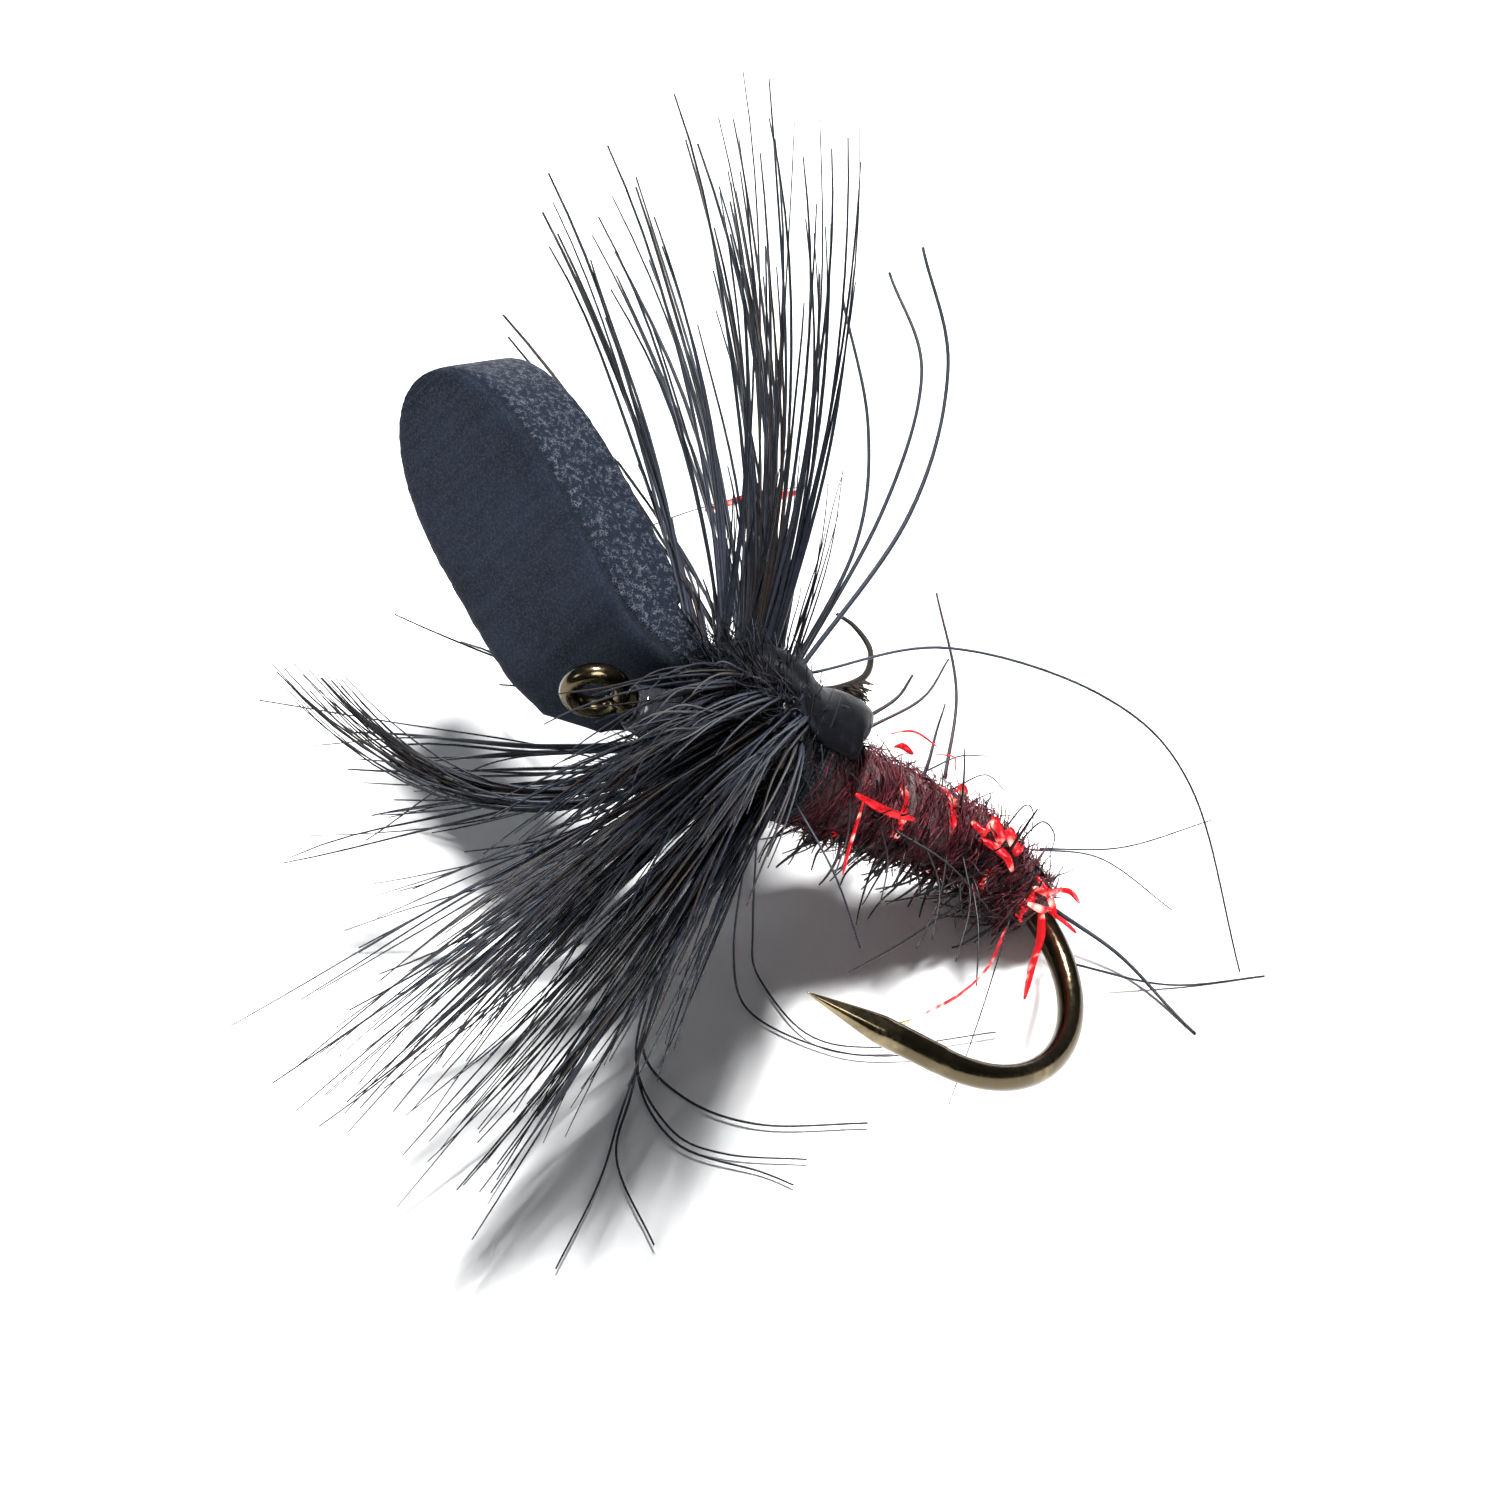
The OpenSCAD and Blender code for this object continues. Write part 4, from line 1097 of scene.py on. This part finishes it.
class FLY_OT_tinsel(Operator):
    """Red tinsel: the rib that dips in and out of the dubbing, the tag ends and loose flash strands."""
    bl_idname = "fly.tinsel"
    bl_label = "Tinsel"

    def execute(self, context):
        """The rib is a flat strip wound at body radius + dip sin(5 turn angle), crinkled by a quick ripple."""
        sizes, colours = settings()
        made = tinsel_finish(colours)
        m = 420
        k = np.linspace(0, 1, m)
        s = 0.9 + (BODY_LEN - 1.0) * k
        a = 2 * math.pi * sizes.rib_turns * k + 3.3
        centre, back, side = body_path(s)
        out = np.cos(a)[:, None] * back + np.sin(a)[:, None] * side
        dip = -0.07 + 0.08 * np.sin(2.3 * a + 0.6) + 0.02 * np.sin(31 * a)
        path = (centre + (body_radius(s) + dip)[:, None] * out)[None]
        crinkle = 1 + 0.3 * np.sin(57 * a) + 0.2 * np.sin(91 * a + 1)
        rib = tubes("rib_strip", path, (0.085 * crinkle)[None], 8, np.cross(out, np.gradient(path[0], axis=0))[None],
                    np.full((1, m), 0.014))
        finish_piece(rib, "fly", "tinsel_red", made, "tinsel_rib")
        tags = [
            [(10.1, -1.35, 0.55), (10.0, -2.2, 0.6), (9.75, -3.0, 0.6), (9.55, -3.9, 0.55)],
            [(10.2, -0.9, 0.5), (10.55, -0.95, 0.85), (10.8, -1.2, 0.9)],
            [(10.35, -1.2, 0.4), (10.6, -1.6, 0.65), (10.9, -1.7, 0.6)],
            [(9.8, -1.1, 0.7), (10.1, -1.15, 0.8), (10.45, -0.95, 0.75)],
            [(9.4, -2.0, 0.3), (8.9, -3.2, 0.3), (8.4, -3.9, 0.0), (7.7, -4.5, -0.3)],
            [(9.9, -0.8, 0.75), (10.15, -1.3, 0.8), (10.3, -1.7, 0.75)],
            [(9.7, -1.5, 0.65), (10.0, -1.6, 0.75), (10.3, -1.4, 0.7)],
        ]
        strand_set("tag_ends", tags, [0.13, 0.055, 0.045, 0.085, 0.08, 0.07, 0.08], 0.5, "fly", "tinsel_red", made,
                   "tinsel_tag", stations=40, flat=0.3, swell=True)
        flash = [
            [(8.3, -0.2, 0.85), (8.55, -0.45, 0.95), (8.7, -0.1, 1.0), (8.95, -0.45, 0.95), (9.1, -0.15, 0.95),
             (9.35, -0.55, 0.9), (9.5, -0.3, 0.9)],
            [(8.5, -0.5, 0.8), (8.8, -0.6, 0.85), (9.1, -0.75, 0.85), (9.3, -0.95, 0.75)],
            [(5.5, -0.75, 0.85), (6.2, -0.85, 0.85), (6.9, -0.78, 0.85)],
            [(5.7, -0.8, 0.85), (5.5, -1.4, 0.9), (5.3, -2.2, 0.8), (5.2, -2.8, 0.7)],
            [(3.0, 6.1, -0.2), (3.7, 6.3, 0.5), (4.1, 6.2, 0.9), (4.4, 6.3, 1.1)],
            [(6.4, 1.2, 0.8), (6.9, 1.35, 1.0), (7.4, 1.1, 1.1)],
            [(7.4, 1.0, 1.0), (7.7, 0.9, 1.2), (7.75, 0.5, 1.1)],
            [(7.9, 0.35, 0.9), (8.0, 0.45, 0.95), (8.15, 0.35, 0.95)],
            [(6.4, 0.75, 1.0), (6.6, 0.85, 1.0), (6.85, 0.75, 1.0)],
        ]
        strand_set("flash_pieces", flash, [0.12, 0.085, 0.085, 0.06, 0.085, 0.024, 0.018, 0.1, 0.07], 0.5, "fly",
                   "tinsel_red", made, "flash_strands", stations=48, flat=0.3, swell=True)
        hair = [[(1.9, 5.9, -1.6), (3.0, 6.2, -0.2), (4.4, 6.35, 1.2), (5.6, 6.2, 2.2)]]
        strand_set("flash_carrier", hair, [0.016], 0.4, "fly", "hackle_black", black_strands(settings()[1]))
        return {"FINISHED"}


class FLY_OT_flue(Operator):
    """Brown feather flue: a curled quill with a small web, caught behind the bundle."""
    bl_idname = "fly.flue"
    bl_label = "Feather Flue"

    def execute(self, context):
        """The quill is a hooked curve; the web is a fan of short flat barbules leaving it."""
        _, colours = settings()
        made = strand_finish("Flue", colours.flue, (0.018, 0.013, 0.01), (0.03, 0.02, 0.013), 0.4, 0.5, Roughness=0.55,
                             Specular_IOR_Level=0.2)
        quill = [[(4.75, 1.75, 0.5), (5.4, 2.0, 0.7), (5.95, 2.5, 0.8), (6.1, 3.2, 0.8), (5.8, 3.7, 0.75),
                  (5.4, 3.9, 0.7)]]
        strand_set("flue_quill", quill, [0.1], 0.5, "fly", "feather_brown", made, "feather_flue", stations=40,
                   root_share=0.35)
        rng = np.random.default_rng(3)
        n = 110
        k = rng.uniform(0.03, 0.36, n)
        spine = curve_through(quill[0], 200)
        root = spine[(k * 199).astype(int)]
        way = rng.normal(0, 0.3, (n, 3)) + np.array([0.3, -0.8, 0.1])
        start = unit(way)
        end = unit(way + np.array([0.6, 0.2, 0.0]))
        path = bent_paths(root, start, end, rng.uniform(0.15, 0.55, n), 7)
        radius = np.full((n, 1), 0.045) * (1 - 0.7 * np.linspace(0, 1, 7)[None])
        piece = tubes("flue_web", path, radius, 4, np.array([0.1, 0.2, 1.0]), tone=rng.uniform(0, 1, n))
        finish_piece(piece, "fly", "feather_brown", made)
        return {"FINISHED"}


# ---------------------------------------------------------------- stage

def placed(x, y, z, at):
    """The matrix of a lamp or camera from its three axes and its place."""
    return Matrix(np.vstack([np.column_stack([x, y, z, at]), [0, 0, 0, 1]]).tolist())


class FLY_OT_stage(Operator):
    """White surface, soft studio light and the camera."""
    bl_idname = "fly.stage"
    bl_label = "Stage"

    def execute(self, context):
        """The camera stands at azimuth -2.3 and elevation 50 degrees with a long lens, framing 28.85 mm."""
        scene = context.scene
        size = 1.2
        mesh = bpy.data.meshes.new("surface")
        mesh.from_pydata([(-size, -size, SURFACE_Z), (size, -size, SURFACE_Z), (size, size, SURFACE_Z),
                          (-size, size, SURFACE_Z)], [], [(0, 1, 2, 3)])
        floor = bpy.data.objects.new("surface", mesh)
        scene.collection.objects.link(floor)

        def build(tree, shader):
            grain = noise(tree, 400.0, 3.0)
            tree.links.new(spread(tree, grain, 0.2, 0.8, 0.5, 0.6), shader.inputs["Roughness"])
        mesh.materials.append(material("White Card", build, Base_Color=(0.92, 0.92, 0.925, 1.0),
                                       Specular_IOR_Level=0.15))

        a, e = math.radians(-2.3), math.radians(50)
        back = np.array([math.sin(a) * math.cos(e), -math.cos(a) * math.cos(e), math.sin(e)])
        right = np.array([math.cos(a), math.sin(a), 0.0])
        up = np.cross(back, right)
        aim = (2.98 * right - 1.15 * up) * MM
        width, lens, sensor = 28.85 * MM, 400.0, 36.0
        far = width * lens / sensor
        data = bpy.data.cameras.new("camera")
        data.lens, data.sensor_width = lens, sensor
        data.clip_start, data.clip_end = 0.01, 10.0
        camera = bpy.data.objects.new("camera", data)
        camera.matrix_world = placed(right, up, back, aim + back * far)
        scene.collection.objects.link(camera)
        scene.camera = camera

        def lamp(name, place, toward, wide, power, tint=(1, 1, 1)):
            light = bpy.data.lights.new(name, "AREA")
            light.shape, light.size, light.energy, light.color = "DISK", wide, power, tint
            thing = bpy.data.objects.new(name, light)
            z = unit(np.array(place, float) - np.array(toward, float))
            x = unit(np.cross([0.0, 0.0, 1.0], z) + np.array([1e-6, 0, 0]))
            thing.matrix_world = placed(x, np.cross(z, x), z, np.array(place, float))
            scene.collection.objects.link(thing)
            return thing

        centre = (0.004, 0.0, 0.0)
        lamp("overhead", (0.026, 0.11, 0.30), centre, 0.06, 2.9)
        lamp("side", (-0.28, -0.06, 0.20), centre, 0.10, 0.15, (0.92, 0.96, 1.0))
        lamp("front", (0.16, -0.24, 0.22), centre, 0.05, 0.06)
        glint = lamp("glint", (0.05, -0.2, 0.3), centre, 0.2, 1.3)
        glint.visible_diffuse = False
        world = bpy.data.worlds.new("studio")
        world.use_nodes = True
        tree = world.node_tree
        sky = add(tree, "ShaderNodeVectorMath", operation="DOT_PRODUCT")
        tree.links.new(add(tree, "ShaderNodeTexCoord").outputs["Generated"], sky.inputs[0])
        sky.inputs[1].default_value = (0.0, 0.42, 0.91)
        light = spread(tree, sky.outputs["Value"], 0.2, 0.95, 0.06, 0.2)
        tree.links.new(light, tree.nodes["Background"].inputs["Strength"])
        tree.nodes["Background"].inputs["Color"].default_value = (0.94, 0.97, 1, 1)
        scene.world = world
        scene.view_settings.view_transform = "Standard"
        return {"FINISHED"}


STEPS = (FLY_OT_stage, FLY_OT_hook, FLY_OT_thread, FLY_OT_cement, FLY_OT_foam, FLY_OT_body, FLY_OT_thorax,
         FLY_OT_hackle, FLY_OT_web, FLY_OT_strays, FLY_OT_guard_hairs, FLY_OT_tinsel, FLY_OT_flue)


class FLY_PT_panel(Panel):
    """Lists the fly's settings and its steps."""
    bl_idname = "FLY_PT_panel"
    bl_label = "Dry Fly"
    bl_space_type = "VIEW_3D"
    bl_region_type = "UI"
    bl_category = "Dry Fly"

    def draw(self, context):
        """Sizes, colours, then one button for each step."""
        column = self.layout.column()
        for holder in (context.scene.fly_sizes, context.scene.fly_colours):
            for key in holder.__annotations__:
                column.prop(holder, key)
        for step in STEPS:
            column.operator(step.bl_idname)


CLASSES = (FlySizes, FlyColours, *STEPS, FLY_PT_panel)


def register():
    """Adds the classes and the scene's settings."""
    for item in CLASSES:
        bpy.utils.register_class(item)
    bpy.types.Scene.fly_sizes = PointerProperty(type=FlySizes)
    bpy.types.Scene.fly_colours = PointerProperty(type=FlyColours)


def unregister():
    """Takes the scene's settings and the classes away."""
    del bpy.types.Scene.fly_colours
    del bpy.types.Scene.fly_sizes
    for item in reversed(CLASSES):
        bpy.utils.unregister_class(item)


def main():
    """Registers the add-on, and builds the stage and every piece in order."""
    register()
    for step in STEPS:
        space, name = step.bl_idname.split(".")
        getattr(getattr(bpy.ops, space), name)()


if __name__ == "__main__":
    main()
